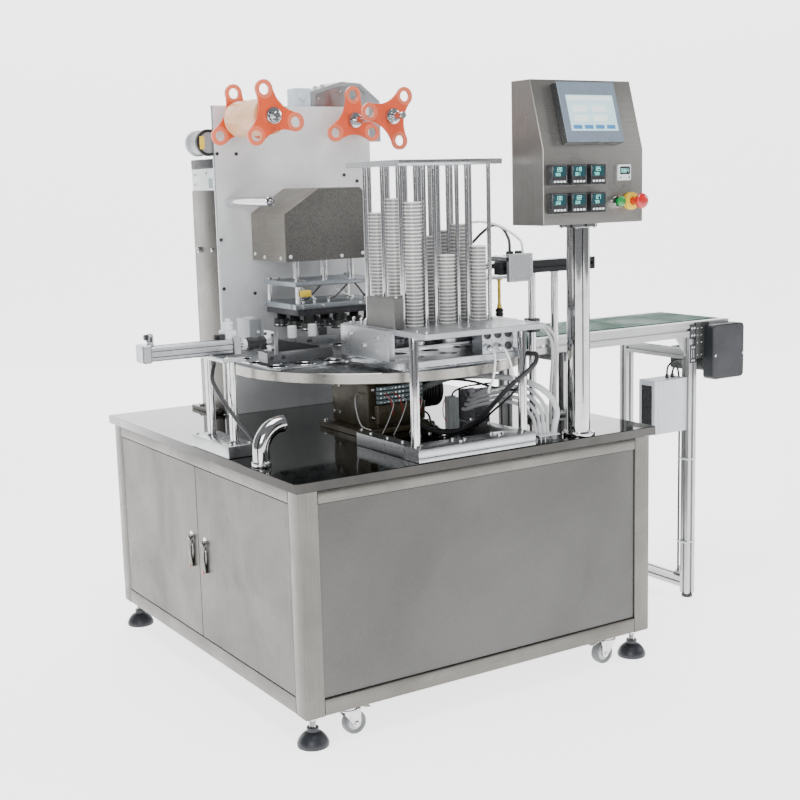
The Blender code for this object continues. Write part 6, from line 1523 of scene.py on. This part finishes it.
# Conveyor drive
# A moulded belt guard with rounded corners and two bright screws, with the finned motor and its worm
# gearbox behind it, hung from the beam on a bracket.
guard_black = finish("guard_black", (0.012, 0.014, 0.018), rough=0.42, marks=0.5, mark_size=12, spots=0.2,
                     spot_size=900)
drive_x0, drive_x1, guard_front, _, guard_z0 = span("conveyor_drive")[:5]
GUARD_TOP = 212
DRIVE_X = 1632
DRIVE_Z = 96
GUARD_BACK = 314.6
motor_fins = [(26, 0), (34, 2), (34, 12)]
for k in range(9):
    motor_fins += [(29, 13.5 + 8 * k), (29, 17.5 + 8 * k), (33.5, 18 + 8 * k), (33.5, 20.8 + 8 * k)]
motor_fins += [(29, 87.5), (29, 95), (34, 96), (34, 118), (31, 120)]
piece("belt_guard", guard_black,
      carry(square(drive_x1 - 134, drive_x1, guard_z0, GUARD_TOP, 14, 7), "Y", guard_front, GUARD_BACK, 3),
      ["conveyor_drive"])
piece("drive_motor", cast_paint,
      [turned(motor_fins, DRIVE_X, GUARD_BACK - 3.6, DRIVE_Z, "Y", 36),
       block(1602, 1664, 394.6, 464.6, DRIVE_Z - 34, DRIVE_Z + 36, 5, 2),
       turned([(24, 0), (24, 3), (10, 3.6), (10, 6)], DRIVE_X, 430, DRIVE_Z + 35.5, "Z", 28),
       block(drive_x0, 1612, GUARD_BACK - 6.8, GUARD_BACK - 0.2, 110, 220, 3)])
piece("drive_screws", chrome,
      joint_screws + screw_grid((1600, 1718), guard_front, 118.5, "Y", 4.2, -0.8)
      + screw_grid((1562.5, 1579), GUARD_BACK - 6.8, (122, 160, 182, 204), "Y", 3.2, -0.7))

# Speed box
# A pale enamelled sheet box on the near leg holds the belt's speed control. Its cover overlaps the
# body, and a black plate with two screws closes the left end.
pale_enamel = finish("pale_enamel", (0.62, 0.65, 0.70), rough=0.32, marks=0.3, mark_size=12, spots=0.1)
speed_x0, speed_x1, speed_y0, speed_y1, speed_z0, speed_z1 = span("speed_box")
piece("speed_body", pale_enamel,
      [block(speed_x0 + 1.2, speed_x1, speed_y0 + 1, speed_y1, speed_z0 + 0.8, speed_z1 - 0.8, 3),
       block(speed_x0 + 1, speed_x0 + 14, speed_y0, speed_y1 - 1, speed_z0, speed_z1, 3),
       block(speed_x0 + 15, speed_x1 - 1, speed_y0 + 0.2, speed_y0 + 2.2, speed_z0 + 2, speed_z1 - 2, 2)],
      ["speed_box"])
piece("speed_plate", bezel_black,
      [block(speed_x0, speed_x0 + 1.6, speed_y0 + 12, speed_y1 - 14, speed_z0 + 18, speed_z1 - 16, 1, 0.3,
             "X"),
       turned([(5.5, 0), (5.5, 10), (4, 12)], speed_x1 - 30, 354, speed_z1 - 1, "Z", 16),
       turned([(5.5, 0), (5.5, 10), (4, 12)], speed_x1 - 52, 354, speed_z1 - 1, "Z", 16)])
piece("speed_screws", chrome,
      screw_grid(speed_x0 + 0.3, (speed_y0 + speed_y1) / 2 - 1, (speed_z0 + 30, speed_z1 - 28), "X", 3,
                 -0.08))

# Gripper stand
# Two ground steel posts on a foot plate carry a black anodised rail.
rail_x0, rail_x1, foot_front, rail_back, foot_z, rail_top = span("gripper_stand")
RAIL_FRONT = 284
RAIL_Z0 = 410
GRIP_POSTS = (918, 998)
POST_Y = 301
rail_black = finish("rail_black", (0.016, 0.017, 0.019), metal=0.6, rough=0.30, lines=(4, 600, 0),
                    marks=0.4)
piece("gripper_posts", chrome,
      [turned([(13.5, 0), (13.5, 6), (10.5, 6.5), (10.5, RAIL_Z0 - 11.5)], x, POST_Y, 11.8, "Z", 32,
              grain="along")
       for x in GRIP_POSTS], ["gripper_stand"])
piece("gripper_foot", satin_aluminium, block(896, 1020, foot_front, 313.5, foot_z, 12, 3))
piece("gripper_rail", rail_black,
      [carry(slotted(RAIL_FRONT, rail_back, RAIL_Z0, rail_top, ("a0", "a1", "b0")), "X", rail_x0 + 10,
             rail_x1 - 10, 0.3),
       block(rail_x0, rail_x0 + 10.5, RAIL_FRONT, rail_back, RAIL_Z0, rail_top, 3),
       block(rail_x1 - 10.5, rail_x1, RAIL_FRONT, rail_back, RAIL_Z0, rail_top, 3)])
piece("gripper_screws", chrome,
      screw_grid((904, 958, 1012), (287, 306), 12, "Z", 3.5)
      + screw_grid((905, 931, 985, 1011), POST_Y, RAIL_Z0, "Z", 3.5, -0.8))

# Gripper carriage
# A pale plate with small screws slides on the rail. Its arm reaches over the table and carries the
# lifting cylinder.
_, _, grip_y0, _, _, grip_z1 = span("gripper_carriage")
GRIP_X = 818
GRIP_END = 898
LIFT_X = 786
LIFT_Y = 490
piece("gripper_plate", cover_grey,
      [carry(square(GRIP_X, GRIP_END, 390, 466, 3, 3), "Y", grip_y0, RAIL_FRONT - 0.4, 0.8)],
      ["gripper_carriage"], body="gripper")
piece("gripper_border", satin_aluminium,
      border(square(GRIP_X, GRIP_END, 390, 466, 3, 3), "Y", grip_y0 + 1, grip_y0 - 0.2, 4), body="gripper")
piece("gripper_arm", satin_aluminium,
      [block(GRIP_X, GRIP_END, grip_y0 + 0.5, 352, 444.4, 458, 2),
       block(GRIP_X + 10, GRIP_END - 10, 340, 352, 424, 445.5, 1),
       block(756, GRIP_END - 10, 340, 520, 424.2, 438, 4, 1.5)], body="gripper")
lift_body = [(8.5, 0), (20.5, 0), (22, 1.5), (22, 12), (20, 12.5), (20, 36), (22, 36.5),
             (22, 51), (20.5, 52.5), (8.5, 52.5)]
piece("lift_cylinder", satin_aluminium,
      turned(lift_body, LIFT_X, LIFT_Y, grip_z1 - 52.5, "Z", 40, loop=True), body="gripper")
piece("gripper_fittings", moulded_black,
      [block(872, 886, 300, 318, 457.5, 472, 3), block(842, 856, 300, 318, 457.5, 472, 3),
       turned([(6, 0), (6, 12), (4.8, 13)], 807, LIFT_Y, 452, "X", 16),
       turned([(6, 0), (6, 12), (4.8, 13)], 807, LIFT_Y, 478, "X", 16)], body="gripper")
piece("gripper_bolts", zinc,
      screw_grid((826, 890), grip_y0, (398, 428, 458), "Y", 2.6, -0.7)
      + screw_grid(760.5, (470, 510), 438, "Z", 2.8, 0.8)
      + screw_grid((830, 858, 886), 346, 458, "Z", 3.2, 0.8), body="gripper")

# Suction cups
# A lifting plate on a ground rod carries nine rubber bellows cups on brass stems.
brass = finish("brass", (0.60, 0.43, 0.08), metal=0.8, rough=0.28, marks=0.6, mark_size=40)
cup_rubber = finish("cup_rubber", (0.020, 0.020, 0.018), rough=0.55, marks=0.5, mark_size=40, spots=0.1)
plate_x0, plate_x1, plate_y0, plate_y1, lip_z, rod_top = span("gripper_lift")
PLATE_Z = 392
CUP_SPOTS = [(TABLE_X + CUP_ROW_R - CUP_PITCH_Y * row, TABLE_Y + CUP_PITCH_X * column)
             for row in range(3) for column in (-1, 0, 1)]
piece("lift_plate", satin_aluminium,
      carry(square(plate_x0, plate_x1, plate_y0, plate_y1, 6, 4), "Z", PLATE_Z, PLATE_Z + 8, 0.8),
      ["gripper_lift"], body="lift")
piece("lift_rod", chrome,
      turned([(8, 0), (8, rod_top - PLATE_Z - 8.5), (7, rod_top - PLATE_Z - 7.5)], LIFT_X, LIFT_Y,
             PLATE_Z + 7.5,
             "Z", 28, grain="along"), body="lift")
bellows = [(9, 5.5), (12, 1.2), (13, 0), (12.6, 3), (9.8, 7.5), (9.6, 9), (12.4, 12.5),
           (12.4, 14), (9.6, 17.5), (9.6, 19), (12.2, 22.5), (12.2, 24.5), (8, 30), (6.2, 30.5)]
piece("suction_cups", cup_rubber, [turned(bellows, x, y, lip_z, "Z", 28) for x,
                                                   y in CUP_SPOTS], body="lift")
piece("suction_stems", brass,
      [part for x, y in CUP_SPOTS for part in
       (turned([(6, 0), (7, 0.5), (7, 10), (4.5, 10.5), (4.5, 83)], x, y, lip_z + 30, "Z", 18),
        turned([(7.5, 0), (8.2, 0.6), (8.2, 5.2), (7.5, 5.8)], x, y, PLATE_Z - 5.6, "Z", 6))], body="lift")

# Outfeed hoses and wiring
# A black hose arches over the gripper beside the clear one, two white ones hang from a valve on its
# post, four pale conduits fan out to the worktop, and black leads hang under the conveyor's motor.
def run(route, radius, spacing=6, sides=10):
    """A hose along a smooth line through a route given from the worktop's corner."""
    return tube(hung_line(route, spacing), radius, sides)


cord("lift_hose", "gripper", (
    (820, 490, 478), (830, 490, 478), (850, 484, 490), (866, 462, 516), (872, 420, 538), (868, 370, 534),
    (857, 326, 508), (849, 309, 486), (849, 309, 471.5)),
    4, black_sheath)
piece("post_valve", moulded_black,
      [block(902, 934, 283, 319, 246, 284, 4, 1),
       turned([(6.2, 0), (6.2, -8), (5, -9)], 910, 283.5, 266, "Y", 16),
       turned([(6.2, 0), (6.2, -8), (5, -9)], 926, 283.5, 266, "Y", 16)])
for name, x in (("near_vacuum_hose", 910), ("far_vacuum_hose", 926)):
    cord(name, "machine", (
        (x, 275.2, 266), (x, 266, 266), (x + 2, 240, 258), (x + 6, 216, 230),
        (x + 4, 208, 180), (x - 4, 206, 110), (x - 6, 206, 40), (x - 6, 206, 0.3)),
        4.2, white_wire)
for k in range(4):
    end_x = 730 + 11.5 * k
    end_y = 56 - 3 * k
    cord(f"fan_conduit_{k + 1}", "machine", (
        (670 + 9 * k, 289.8, 58 + 12 * k), (670 + 9 * k, 278, 58 + 12 * k),
        (676 + 9 * k, 220, 78 + 12 * k), (691 + 10 * k, 140, 96 + 12 * k),
        (711 + 11 * k, 86, 88 + 12 * k), (end_x - 2, end_y + 6, 58 + 8 * k),
        (end_x, end_y, 26), (end_x, end_y, 0.3)), 4.8, grey_conduit)
piece("conduit_ties", valve_white, [block(723.5, 792, 30, 64, 11, 14.5, 2, 0.5)])
piece("conveyor_leads", black_sheath,
      [run(((1481.6, 354, 62), (1481.6, 354, 68), (1486, 354, 88), (1510, 354, 103), (1545, 357, 104),
            (1575, 368, 98), (1597, 372, 96), (1605, 372, 96)), 3.2),
       run(((1503.6, 354, 62), (1503.6, 354, 66), (1507, 354, 78), (1520, 354, 86), (1527, 352, 70),
            (1528.5, 348.8, 30), (1530, 348.6, -40), (1530, 348.6, -110), (1530, 348.6, -200),
            (1530, 348.6, -560), (1530, 348.6, -570)), 3, 10)])
piece("lead_ties", valve_white,
      [block(LEG_X0 - 8.6, LEG_X1 + 1.6, beam_y0 - 1.6, inner_near + 7.6, z, z + 3.5, 1, 0.4)
       for z in (-205, -470)])
